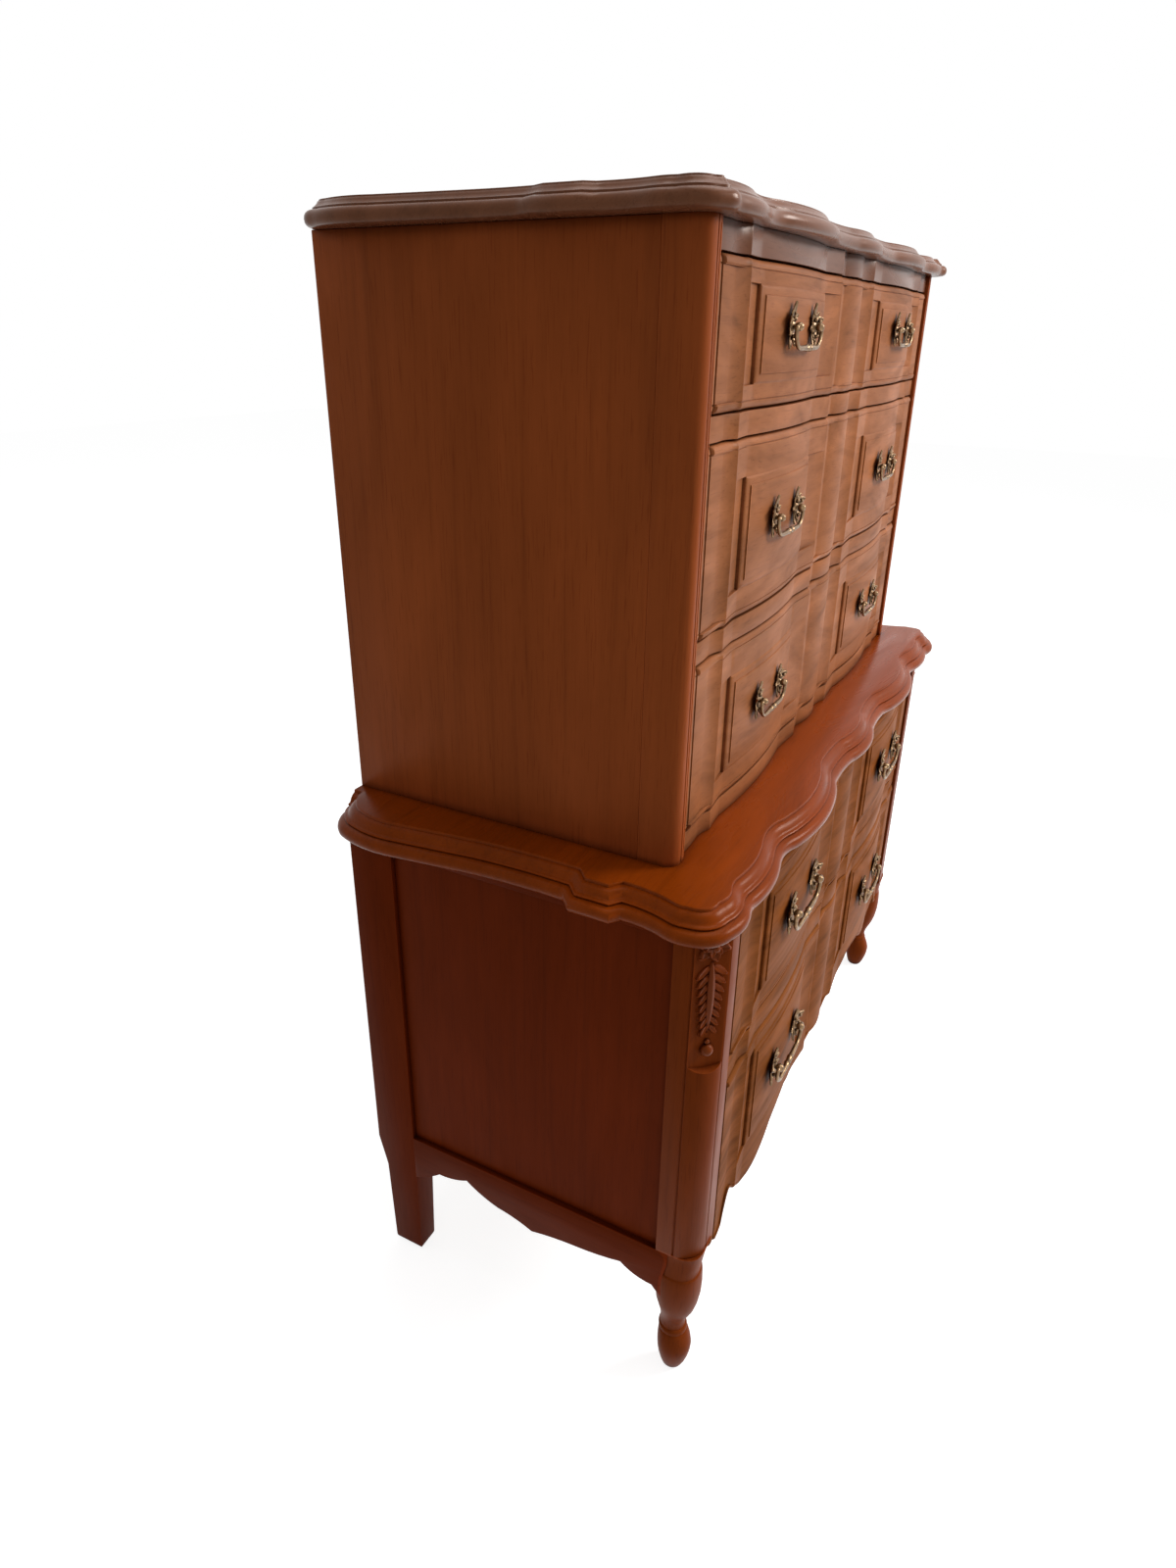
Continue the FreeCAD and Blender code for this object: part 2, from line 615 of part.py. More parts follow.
def pull_post(face, place, side, size):
    """A leaf with its neck and ball, bored for the bail, cut to sit on the drawer face."""
    neck = Part.makeCylinder(NECK_RADIUS, STANDOFF, V(0, 0, 0), V(0, 1, 0))
    post = pull_leaf(-side).fuse([neck, Part.makeSphere(BALL_RADIUS)])
    bore = Part.makeCylinder(PIN_RADIUS + PIN_CLEARANCE, 4 * BALL_RADIUS,
                             V(-2 * BALL_RADIUS, 0, 0), V(1, 0, 0))
    post = post.cut(bore).scaled(size)
    post.translate(place + V(side * PULL_SPAN * size, 0, 0))
    return max(post.cut(face).Solids, key=lambda solid: solid.Volume)


def pull_screw(place, side, front, size):
    start = place + V(side * PULL_SPAN * size, STANDOFF + 4.0, 0)
    rear = CENTRE_DEPTH - (front - FACE_THICK)
    shank = Part.makeCylinder(SCREW_RADIUS, rear - start.y, start, V(0, 1, 0))
    head = Part.makeCylinder(SCREW_HEAD, 2.5, V(start.x, rear, start.z), V(0, 1, 0))
    return shank.fuse(head).removeSplitter()


def bail():
    """The swinging handle, hanging from its hinge at the origin."""
    side = BAIL_HALF
    low = -BAIL_DROP
    bend = BAIL_BEND
    sweep = BAIL_SWEEP
    part = math.sqrt(0.5)
    turn = sweep * part
    right = [
        Part.Arc(V(side - bend, 0, 0), V(side - bend + bend * part, 0, -bend + bend * part),
                 V(side, 0, -bend)).toShape(),
        Part.makeLine(V(side, 0, -bend), V(side, 0, low + sweep)),
        Part.Arc(V(side, 0, low + sweep), V(side - sweep + turn, 0, low + sweep - turn),
                 V(side - sweep, 0, low)).toShape(),
    ]
    left = [edge.mirror(V(0, 0, 0), V(1, 0, 0)) for edge in right]
    bottom = Part.makeLine(V(side - sweep, 0, low), V(-side + sweep, 0, low))
    path = Part.Wire(Part.__sortEdges__(right + left + [bottom]))
    start = path.OrderedVertexes[0].Point
    ring = Part.Wire(Part.makeCircle(BAIL_ROD, start, V(1, 0, 0)))
    rod = path.makePipeShell([ring], True, True)
    pins = []
    for way in (-1, 1):
        pins.append(Part.makeCylinder(PIN_RADIUS, side - bend + 1 - PIN_INNER,
                                      V(way * PIN_INNER, 0, 0), V(way, 0, 0)))
    return rod.fuse(pins)


def make_drawer(parts, number, low, high, front):
    name = "drawer_%d_" % number
    panel = PANELS[number - 1]
    if number == len(OPENINGS):
        face = drawer_face(front, FOOT_LOW, high - FACE_GAP, panel).cut(foot_cutter())
    else:
        face = drawer_face(front, low + FACE_GAP, high - FACE_GAP, panel)
    length = UPPER_BOX if front == UPPER_FRONT else LOWER_BOX
    size = UPPER_PULL if front == UPPER_FRONT else 1.0
    face_back = front - FACE_THICK
    box_back = face_back - length
    box_low, box_high = low + BOX_LIFT, high - BOX_ABOVE
    inner = BOX_HALF - BOX_SIDE
    bottom_low = box_low + GROOVE_UP
    floor = block(-inner - GROOVE_DEEP, inner + GROOVE_DEEP, box_back, face_back + GROOVE_DEEP,
                  bottom_low, bottom_low + BOX_BOTTOM)
    side = block(inner, BOX_HALF, box_back, face_back, box_low, box_high).cut(floor)
    back = block(-inner, inner, box_back + 4, box_back + 4 + BOX_SIDE,
                 bottom_low + BOX_BOTTOM, box_high - 6)

    posts, screws = [], []
    places = pull_places(front, panel, size)
    holes = []
    for place in places:
        for way in (-1, 1):
            screw = pull_screw(place, way, front, size)
            start = place + V(way * PULL_SPAN * size, 0, 0)
            holes.append(Part.makeCylinder(SCREW_RADIUS + 0.1, 60, start, V(0, 1, 0)))
            screws.append(screw)
    face = face.cut([floor])
    for place in places:
        for way in (-1, 1):
            posts.append(pull_post(face, place, way, size))
    face = face.cut(holes)
    screws = [screw.cut(Part.makeCompound(posts)) for screw in screws]
    parts[name + "front"] = face
    parts[name + "box"] = Part.makeCompound([side, left_of(side), back])
    parts[name + "bottom"] = floor
    parts[name + "pull_posts"] = Part.makeCompound(posts + screws)
    for place, hand in zip(places, ("left", "right")):
        handle = bail().scaled(size)
        handle.translate(place)
        parts[name + "bail_" + hand] = handle


def build():
    parts = {}
    make_tops(parts)
    make_upper_case(parts)
    make_lower_case(parts)
    make_stops(parts)
    make_carvings(parts)
    for number, (low, high, front) in enumerate(OPENINGS, 1):
        make_drawer(parts, number, low, high, front)
    os.makedirs("parts", exist_ok=True)
    for name, shape in parts.items():
        shape.exportStep("parts/" + name + ".step")
        print(name, len(shape.Solids), shape.isValid(), round(shape.Volume / 1000.0, 1))
    box = Part.makeCompound(list(parts.values())).BoundBox
    print("box", box)
    print("nodes", len(parts))


build()
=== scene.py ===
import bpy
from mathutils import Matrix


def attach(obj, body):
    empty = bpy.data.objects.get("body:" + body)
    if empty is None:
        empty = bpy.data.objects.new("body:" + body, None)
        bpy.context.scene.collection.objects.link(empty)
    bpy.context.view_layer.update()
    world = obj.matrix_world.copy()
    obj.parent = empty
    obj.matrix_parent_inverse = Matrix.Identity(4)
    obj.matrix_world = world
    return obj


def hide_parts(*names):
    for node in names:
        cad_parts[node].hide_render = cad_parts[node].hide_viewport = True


bl_info = {
    "name": "Chest on Chest",
    "version": (1, 0, 0),
    "blender": (4, 5, 0),
    "location": "View3D > Sidebar > Chest",
    "description": "Dresses a serpentine chest on chest with drawers, carving and bail pulls",
    "category": "Add Mesh",
}

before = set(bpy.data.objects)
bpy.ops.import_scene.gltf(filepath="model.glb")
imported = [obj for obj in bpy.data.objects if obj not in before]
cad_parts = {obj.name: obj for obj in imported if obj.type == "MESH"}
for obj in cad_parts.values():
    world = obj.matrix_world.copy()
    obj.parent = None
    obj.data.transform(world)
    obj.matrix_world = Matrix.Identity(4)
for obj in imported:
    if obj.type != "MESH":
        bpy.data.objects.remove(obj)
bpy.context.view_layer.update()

import math

import bmesh
import bpy
from bpy.props import FloatProperty, FloatVectorProperty, PointerProperty
from mathutils import Matrix, Vector

# Sizes are in millimetres up to the point where they are drawn. A depth is the distance
# forward of the back plane of the two cases.
MM = 0.001
CENTRE_DEPTH = 256.75            # back plane of the cases to the origin
SAME = 0.00002                   # metres within which two points count as one

# Depths of the two front planes from the back, and half the width between the posts
UPPER_FRONT = 415.0
LOWER_FRONT = 484.0
OPENING_HALF = 475.0

# Drawer openings from the top: bottom, top, front plane, and the ends of the raised field
DRAWERS = [
    (1184.0, 1315.5, UPPER_FRONT, 1207.5, 1294.0),
    (974.5, 1160.5, UPPER_FRONT, 1007.0, 1121.5),
    (765.0, 951.0, UPPER_FRONT, 797.0, 912.0),
    (487.0, 688.0, LOWER_FRONT, 519.5, 659.5),
    (264.0, 453.0, LOWER_FRONT, 266.0, 428.5),
]
FOOT_LOW = 184.0
UPPER_BOTTOM = 741.0
UPPER_UNDER = 1340.0
LOWER_UNDER = 706.0

# The serpentine front, right half: place across, reach in front of the posts, and rise of the
# arc that leads to the next point
WAVE = [(45.0, -6.0, -1.5), (80.0, 1.0, -0.4), (141.0, -3.0, 6.8), (363.0, -3.0, -0.4),
        (400.0, 0.0, -1.5), (425.0, -6.0, 1.2), (475.0, -5.5, 0.0)]
LOBE = 7.0                       # rise of the lobe in the middle
STOPPED = -2.5                   # level at which the hollows stop in the rim
# Stopped channels beside each field: both ends, as the wave above
CHANNELS = [((80.0, 1.0, -1.6), (141.0, -5.5)), ((363.0, -6.0, -1.6), (400.0, 0.0))]
# Raised field: place across of its ends, then the width and the rise of each of its mouldings
FIELD_ENDS = (141.15, 362.85)
FIELD_STEPS = [(0.7, 0.5), (1.0, 0.55), (1.3, 0.3), (5.2, 0.25), (0.5, 0.9), (1.3, 0.4)]

# Places across where the front is drawn, right half
ACROSS = [0, 8, 16, 24, 32, 39, 43.5, 45, 46.5, 52, 58, 64, 70, 75, 78.5, 80, 82, 88, 96, 105, 114,
          123, 132, 140.7, 141.3, 150, 160, 170, 180, 190, 200, 210, 220, 230, 240, 252, 264, 274,
          284, 294, 304, 314, 324, 334, 344, 354, 362.7, 363.3, 370, 377, 384, 391, 396, 398.8,
          400, 401, 403.5, 408, 413, 418, 422.5, 425, 427.5, 432, 440, 450, 457]
# The rolled edge at each end: place from the end, and how far back
END_ROLL = [(14.2, 0.0), (13.4, -2.6), (12.0, -2.6), (11.2, -0.4), (8.0, -0.1), (4.5, -0.5),
            (2.0, -1.7), (0.7, -3.4), (0.0, -5.6)]
# The rolled edge at the top and the bottom, with a fine quirk inside it
ROLL = [(0.0, -5.6), (0.6, -3.4), (1.9, -1.6), (4.0, -0.4), (6.2, 0.0), (7.3, 0.0), (7.7, -0.7),
        (8.4, -0.7), (8.8, 0.0)]

FACE_GAP = 1.5
FACE_PROUD = 1.5
FACE_THICK = 22.0
RAIL_DEPTH = 60.0

# Hollow of each post that holds its carving: place across, depth, and the way that it faces
HOLLOW_X = 517.4
HOLLOW_DEPTH = 472.1
HOLLOW_TURN = 42.0
CARVING_IN = 3.4                 # how far the carving is set into its hollow

# Edge of a top, right half, as the wave above
TOP_WAVE = [(60.0, 15.0, -1.5), (130.0, 12.0, -1.5), (165.0, 18.0, 11.5), (335.0, 18.0, -1.5),
            (365.0, 11.0, -1.0), (395.0, 15.0, 5.0)]
TOP_LOBE = 9.0
# Then round the corner: share of the side overhang, distance behind the front plane, rise
TOP_CORNER = [(-0.92, -16.0, -1.0), (-0.55, -18.0, 3.5), (0.30, -16.0, 9.0), (0.98, 22.0, 1.5),
              (0.96, 46.0, -3.0), (0.78, 96.0, 0.0), (1.00, 104.0, 0.0), (1.00, 152.0, 0.0),
              (0.70, 166.0, -2.0)]
# And along the side: share of the overhang, share of the depth, rise
TOP_SIDE = [(0.74, 0.42, 0.0), (1.00, 0.21, 5.0), (0.80, 0.05, 5.0), (0.10, 0.00, 0.0)]
TRIM = 40.0                      # wood behind the back plane, cut off in the end
# Half the width of each case under its top, overhang of the top, and share of the wave it takes
UPPER_TOP = (500.5, 28.0, 0.88)
LOWER_TOP = (531.0, 51.0, 1.0)
# Mouldings: height above the underside, inset from the edge
BULLNOSE = [(0.0, 8.5), (0.4, 5.8), (1.2, 3.6), (2.6, 1.7), (4.6, 0.5), (7.5, 0.0), (10.4, 0.5),
            (12.6, 1.7), (14.2, 3.4), (15.2, 5.4), (15.6, 7.4), (15.8, 8.8), (17.6, 9.0),
            (18.2, 10.0), (19.2, 11.4), (21.2, 13.4), (23.2, 14.6), (23.6, 15.8), (24.6, 15.9),
            (25.0, 16.5)]
LEDGE_EDGE = [(0.0, 10.5), (0.4, 7.2), (1.4, 4.4), (3.2, 2.0), (5.8, 0.5), (9.0, 0.0), (12.2, 0.5),
              (14.8, 2.0), (16.6, 4.4), (17.6, 7.2), (18.0, 9.6), (18.6, 10.2), (19.2, 8.8),
              (20.4, 8.6), (21.4, 9.4), (21.8, 11.0), (22.6, 12.6), (24.4, 13.6), (27.4, 15.4),
              (29.8, 17.8), (31.2, 20.4), (31.6, 22.0), (34.0, 22.1), (34.7, 22.5), (35.0, 23.4)]

# Front leg: height, place across, depth, radius, and how square it is where it isn't round
LEG = [(0.0, 505.0, 453.5, 10.0), (1.2, 505.0, 453.5, 12.2), (4.0, 505.0, 453.5, 14.0),
       (12.0, 505.0, 454.0, 17.0), (22.0, 505.0, 454.3, 19.7), (32.0, 505.0, 454.5, 21.5),
       (42.0, 505.0, 454.5, 22.2), (52.0, 504.3, 453.3, 21.4), (60.0, 503.6, 452.0, 19.8),
       (65.0, 503.2, 451.0, 18.6), (66.0, 503.1, 450.8, 17.9), (68.0, 503.0, 450.5, 18.4),
       (71.0, 502.8, 450.0, 18.5), (73.5, 502.7, 449.8, 17.9), (74.5, 502.6, 449.6, 16.7),
       (82.0, 502.7, 449.9, 16.3), (90.0, 503.1, 450.8, 17.2), (100.0, 504.0, 452.5, 19.5),
       (113.0, 505.0, 454.0, 23.4), (127.0, 505.0, 454.0, 27.0),
       (145.0, 505.0, 454.5, 29.0, 2.05), (162.0, 505.0, 454.5, 29.3, 2.15),
       (174.0, 505.0, 454.5, 28.6, 2.25), (181.0, 505.0, 454.5, 27.9, 2.3),
       (184.0, 505.0, 454.5, 27.3, 2.3), (185.0, 505.0, 454.5, 26.3, 2.3),
       (188.0, 505.0, 454.6, 26.0, 2.35), (196.0, 504.6, 455.2, 26.0, 2.6),
       (204.0, 504.2, 456.0, 26.1, 3.0), (211.0, 503.8, 456.6, 26.3, 3.6),
       (217.0, 503.4, 457.2, 26.7, 5.0), (221.0, 503.1, 457.5, 27.2, 7.0),
       (224.0, 503.0, 457.6, 27.6, 8.0), (224.6, 503.0, 457.6, 27.0, 8.0)]
POST_FOOT = 222.2                # where the leg takes over from the post

QUIRK = (477.2, 479.0)           # groove beside the drawers in the upper posts
QUIRK_DEPTH = 2.6
QUIRK_STOP = 6.0                 # how far it stops short of the post's ends
POST_EASE = 0.4                  # share of the easing that the edges of these posts take

# Bail pulls: height of the pins off the field, half the span of the pins, how far they stand
# above the middle of the field, and the size of the upper pulls
STANDOFF = 12.0
PULL_SPAN = 47.5
PULL_UP = 10.0
UPPER_PULL = 0.8
FIELD_X = 252.0                  # middle of a field, place across
FIELD_RADIUS = 904.0             # of its bend in plan
FIELD_PEAK = 8.2                 # fullest point of a field in front of the posts

HIDDEN_WOOD = ("upper_runners", "upper_dust_panels", "lower_runners", "lower_dust_panels",
               "upper_back_panel", "lower_back", "drawer_stops")


# ---------------------------------------------------------------- working in edit mode
def choose(first, *others):
    """Make these pieces the only ones selected, and the first one active."""
    bpy.ops.object.select_all(action="DESELECT")
    for piece in (first, *others):
        piece.select_set(True)
    bpy.context.view_layer.objects.active = first


def work_on(piece, kind="VERT"):
    """Make one piece the only one selected and open it for editing."""
    choose(piece)
    bpy.ops.object.mode_set(mode="EDIT")
    bpy.ops.mesh.select_mode(type=kind)
    bpy.ops.mesh.select_all(action="DESELECT")


def pick_all():
    bpy.ops.mesh.select_all(action="SELECT")


def done():
    bpy.ops.object.mode_set(mode="OBJECT")


def face_outwards():
    """Point the faces of the open piece outwards, and end its editing."""
    pick_all()
    bpy.ops.mesh.normals_make_consistent(inside=False)
    done()


def pick(piece, test, kind="VERT"):
    """Select the vertices, edges or faces of the open piece that pass a test of their place."""
    mesh = bmesh.from_edit_mesh(piece.data)
    groups = {"VERT": mesh.verts, "EDGE": mesh.edges, "FACE": mesh.faces}
    for group in groups.values():
        for item in group:
            item.select = False
    for item in groups[kind]:
        if test(item):
            item.select_set(True)
    mesh.select_flush_mode()
    bmesh.update_edit_mesh(piece.data, loop_triangles=False, destructive=False)


def at(x, depth, z):
    """A point in metres from its place across, its depth and its height."""
    return Vector((x, CENTRE_DEPTH - depth, z)) * MM


def trace(name, points):
    """Draw a line through points, from one vertex on. Leaves the piece open."""
    bpy.ops.mesh.primitive_plane_add(size=MM, location=points[0])
    piece = bpy.context.object
    piece.name = name
    bpy.ops.object.mode_set(mode="EDIT")
    bpy.ops.mesh.select_mode(type="VERT")
    pick_all()
    bpy.ops.mesh.merge(type="CENTER")
    for start, end in zip(points, points[1:]):
        bpy.ops.mesh.extrude_vertices_move(TRANSFORM_OT_translate={"value": end - start})
    return piece


def move(x=0.0, forward=0.0, z=0.0):
    bpy.ops.transform.translate(value=(x * MM, -forward * MM, z * MM))


def pull_line(forward, z):
    """Extrude the selected line upwards and forwards."""
    bpy.ops.mesh.extrude_edges_move(
        TRANSFORM_OT_translate={"value": (0.0, -forward * MM, z * MM)})


def place_of(piece, item):
    """Place across, depth and height of a vertex, edge or face of the open piece."""
    if hasattr(item, "co"):
        spot = item.co
    elif hasattr(item, "calc_center_median"):
        spot = item.calc_center_median()
    else:
        spot = (item.verts[0].co + item.verts[1].co) / 2
    spot = piece.matrix_world @ spot
    return spot.x / MM, CENTRE_DEPTH - spot.y / MM, spot.z / MM


def pick_place(piece, test, kind="VERT"):
    pick(piece, lambda item: test(*place_of(piece, item)), kind)


def close_back(piece, depth):
    """Carry the open rim of a board back to a plane, close it and end its editing."""
    bpy.ops.mesh.select_mode(type="EDGE")
    pick(piece, lambda edge: edge.is_boundary, "EDGE")
    bpy.ops.mesh.extrude_edges_move(TRANSFORM_OT_translate={"value": (0.0, 5 * MM, 0.0)})
    bpy.ops.transform.resize(value=(1.0, 0.0, 1.0), center_override=at(0.0, depth, 0.0))
    bpy.ops.mesh.edge_face_add()
    face_outwards()


# ---------------------------------------------------------------- finishing a piece
def finish_piece(piece, name, body, finish, stands_for, angle):
    """Name a piece, put its place into its mesh, give it its finish and body, hide its CAD solids.
    """
    choose(piece)
    bpy.ops.object.transform_apply()
    bpy.ops.object.shade_smooth_by_angle(angle=math.radians(angle))
    piece.name = name
    piece.data.name = name
    piece.data.materials.clear()
    piece.data.materials.append(bpy.data.materials[finish])
    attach(piece, body)
    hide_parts(*stands_for)


def merged_copy(solid):
    """A copy of a solid whose triangles are joined, to be eased and polished."""
    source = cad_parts[solid]
    copy = bpy.data.objects.new(solid + "_polished", source.data.copy())
    bpy.context.scene.collection.objects.link(copy)
    copy.matrix_world = source.matrix_world.copy()
    work_on(copy)
    pick_all()
    bpy.ops.mesh.remove_doubles(threshold=SAME)
    bpy.ops.mesh.dissolve_limited(angle_limit=math.radians(0.3))
    done()
    return copy


def ease(piece, width):
    """Round the sharp edges a little, as sanding does."""
    bpy.context.view_layer.objects.active = piece
    soft = piece.modifiers.new("eased edges", "BEVEL")
    soft.width = width
    soft.segments = 2
    soft.limit_method = "ANGLE"
    soft.angle_limit = math.radians(40.0)
    bpy.ops.object.modifier_apply(modifier=soft.name)


def stopped_quirk(piece, side):
    """Sink a narrow groove, stopped at both ends, beside the upper drawers."""
    start, end = QUIRK
    low, high = UPPER_BOTTOM + QUIRK_STOP, UPPER_UNDER - QUIRK_STOP
    work_on(piece, "FACE")
    for x in QUIRK:
        pick_all()
        bpy.ops.mesh.bisect(plane_co=at(side * x, 0, 0), plane_no=(1, 0, 0))
    for z in (low, high):
        pick_all()
        bpy.ops.mesh.bisect(plane_co=at(0, 0, z), plane_no=(0, 0, 1))
    pick_place(piece, lambda x, depth, z: start < side * x < end and low < z < high
               and depth > UPPER_FRONT - 0.1, "FACE")
    bpy.ops.mesh.extrude_region_move(TRANSFORM_OT_translate={"value": (0, QUIRK_DEPTH * MM, 0)})
    done()


# ---------------------------------------------------------------- serpentine boards
def bowed(start, end, x):
    """Level at a place on the low arc between two points. The first holds its rise."""
    part = (x - start[0]) / (end[0] - start[0])
    return start[1] + (end[1] - start[1]) * part + 4 * start[2] * part * (1 - part)


def reach(x):
    """How far the serpentine line stands in front of the posts."""
    x = abs(x)
    first = WAVE[0]
    if x < first[0]:
        return first[1] + LOBE * (1.0 - (x / first[0]) ** 2)
    for start, end in zip(WAVE, WAVE[1:]):
        if x <= end[0]:
            return bowed(start, end, x)
    return WAVE[-1][1]


def places_across(half_width):
    """Places across, and the set-back of the rolled ends, from left to right."""
    right = [(float(x), 0.0) for x in ACROSS]
    right += [(half_width - inside, back) for inside, back in END_ROLL]
    return [(-x, back) for x, back in reversed(right[1:])] + right


def raise_wave(heights):
    """Draw the line up through heights, each with its set-back."""
    pick_all()
    before = heights[0]
    for height in heights[1:]:
        pull_line(height[1] - before[1], height[0] - before[0])
        before = height


def stop_hollows(piece, low, high):
    """Fill the hollows in the rolled rim at the top and at the bottom."""
    inside = ROLL[-2][0]
    for x in ACROSS:
        short = STOPPED - reach(x)
        if short > 0.2:
            pick_place(piece, lambda px, depth, z: abs(abs(px) - x) < 0.1
                       and (z < low + inside or z > high - inside))
            move(forward=short)


def cut_channels(piece, low, high):
    """Press in the stopped channels on both sides of each field."""
    for start, end in CHANNELS:
        for x in ACROSS:
            if start[0] < x < end[0]:
                pick_place(piece, lambda px, depth, z: abs(abs(px) - x) < 0.1 and low < z < high)
                move(forward=bowed(start, end, x) - reach(x))


def raise_fields(piece, low, high):
    """Raise a moulded field on each block."""
    bpy.ops.mesh.select_mode(type="FACE")
    for side in (-1, 1):
        pick_place(piece, lambda x, depth, z: FIELD_ENDS[0] < side * x < FIELD_ENDS[1]
                   and low + 0.15 < z < high - 0.15, "FACE")
        for width, rise in FIELD_STEPS:
            bpy.ops.mesh.inset(thickness=width * MM, depth=0.0, use_even_offset=True)
            move(forward=rise)


def drawer_front(number):
    low, high, front, field_low, field_high = DRAWERS[number - 1]
    last = number == len(DRAWERS)
    low, high = (FOOT_LOW if last else low + FACE_GAP), high - FACE_GAP
    face = front + FACE_PROUD
    levels = [(low + up, back) for up, back in ROLL]
    levels += [(field_low - 0.3, 0.0), (field_low + 0.3, 0.0), (field_high - 0.3, 0.0),
               (field_high + 0.3, 0.0)]
    levels += [(high - up, back) for up, back in reversed(ROLL)]
    piece = trace("front", [at(x, face + ROLL[0][1] + reach(x) + back, low)
                            for x, back in places_across(OPENING_HALF - FACE_GAP)])
    raise_wave(levels)
    stop_hollows(piece, low, high)
    cut_channels(piece, field_low, field_high)
    raise_fields(piece, field_low, field_high)
    if last:
        scallop_foot(piece)
    close_back(piece, front - FACE_THICK)
    body = "drawer_%d" % number
    # The lower fronts take a darker copy of the fronts' wood: painted shade of the lower case.
    finish = "cherry_X" if front == UPPER_FRONT else "cherry_lower_front_shaded"
    finish_piece(piece, body + "_serpentine_front", body, finish, [body + "_front"], angle=32.0)


# Lower edge of the bottom front, right half: place across, height, bow of the line to the next
SCALLOP = [(0.0, 205.0, 0.0), (60.0, 211.0, -1.0), (140.0, 214.0, -2.0), (190.0, 232.0, 3.0),
           (265.0, 222.0, -2.0), (310.0, 198.0, -6.0), (372.0, 202.0, 1.0), (415.0, 236.0, 8.0),
           (441.0, 190.0, 0.0), (475.0, 187.0, 0.0)]


def scallop_foot(piece):
    """Shape the lower edge of the bottom drawer front, roll and all."""
    bpy.ops.mesh.select_mode(type="VERT")
    for x in sorted({round(abs(place), 3) for place, back in places_across(
            OPENING_HALF - FACE_GAP)}):
        for start, end in zip(SCALLOP, SCALLOP[1:]):
            if start[0] <= x <= end[0]:
                edge = bowed(start, end, x)
        pick_place(piece, lambda px, depth, z: abs(abs(px) - x) < 0.05 and z < FOOT_LOW + 9.0)
        move(z=edge - FOOT_LOW)


def serpentine_rail(name, front, low, high, solid):
    soft = [(0.0, -1.0), (0.4, -0.35), (1.2, 0.0)]
    levels = [(low + up, back) for up, back in soft]
    levels += [(high - up, back) for up, back in reversed(soft)]
    points = [at(x, front + reach(x) - 1.0, low) for x in
              [-OPENING_HALF] + [x for x, back in places_across(OPENING_HALF) if abs(x) < 460]
              + [OPENING_HALF]]
    piece = trace(name, points)
    raise_wave(levels)
    close_back(piece, front - RAIL_DEPTH)
    # The lower rails take the same darker copy of the fronts: painted shade of the lower case.
    finish = "cherry_X" if front == UPPER_FRONT else "cherry_lower_front_shaded"
    # The upper frieze takes the darker finish of the upper top: painted shade under the cornice.
    if high == UPPER_UNDER:
        finish = "cherry_cornice_and_shaded_frieze"
    finish_piece(piece, name, "case", finish, [solid], angle=32.0)


# ---------------------------------------------------------------- moulded tops
def left_of(run):
    return Vector((-run.y, run.x)).normalized()


def arc_points(start, end, rise, steps):
    """Points along a low arc in plan that is full by the rise on the left of its run."""
    run = Vector((end[0] - start[0], end[1] - start[1]))
    side = left_of(run)
    for step in range(steps):
        part = step / steps
        bow = 4.0 * rise * part * (1.0 - part)
        yield (start[0] + run.x * part + side.x * bow, start[1] + run.y * part + side.y * bow)


def top_corners(front, half_width, overhang, share):
    """Corners of a top's outline all the way round, each with the rise of the arc after it."""
    half = [(x, front + forward * share, rise * share) for x, forward, rise in TOP_WAVE]
    half += [(half_width + out * overhang, front - behind, rise)
             for out, behind, rise in TOP_CORNER]
    half += [(half_width + out * overhang, front * place, rise) for out, place, rise in TOP_SIDE]
    half.append((half[-1][0], -TRIM, 0.0))
    around = list(half)
    for index in range(len(half) - 1, -1, -1):
        rise = half[index - 1][2] if index else TOP_LOBE * share
        around.append((-half[index][0], half[index][1], rise))
    return around


def inset_ring(corners, inset, z):
    """One ring of a moulding: the outline moved inwards, drawn at a height."""
    flat = [Vector((x, depth)) for x, depth, rise in corners]
    moved = []
    for index, spot in enumerate(flat):
        before = spot - flat[index - 1]
        after = flat[(index + 1) % len(flat)] - spot
        side = (left_of(before) + left_of(after)).normalized()
        square = side.dot(left_of(after))
        moved.append(spot - side * inset / max(0.75, square))
    points = []
    for index, (x, depth, rise) in enumerate(corners):
        end = moved[(index + 1) % len(moved)]
        length = (flat[(index + 1) % len(flat)] - flat[index]).length
        steps = max(1, round(length / (7.0 if rise else 40.0)))
        if abs(rise) > 3.0:
            steps = max(steps, 8)
        points += [at(px, pd, z) for px, pd in arc_points(moved[index], end, rise, steps)]
    return points


def draw_ring(points):
    piece = trace("ring", points)
    ends = (0, len(points) - 1)
    pick(piece, lambda vertex: vertex.index in ends)
    bpy.ops.mesh.edge_face_add()
    done()
    return piece


def bridged(name, rings):
    """A closed body through level rings of points, from the lowest to the highest."""
    piece = draw_ring(rings[0])
    heights = [ring[0].z for ring in rings]
    for low, high, points in zip(heights, heights[1:], rings[1:]):
        ring = draw_ring(points)
        choose(piece, ring)
        bpy.ops.object.join()
        work_on(piece, "EDGE")
        pick_place(piece, lambda x, depth, z: min(abs(z * MM - low), abs(z * MM - high)) < SAME,
                   "EDGE")
        bpy.ops.mesh.bridge_edge_loops()
        done()
    work_on(piece, "EDGE")
    for height in (heights[0], heights[-1]):
        pick_place(piece, lambda x, depth, z: abs(z * MM - height) < SAME, "EDGE")
        bpy.ops.mesh.edge_face_add()
    face_outwards()
    piece.name = name
    return piece


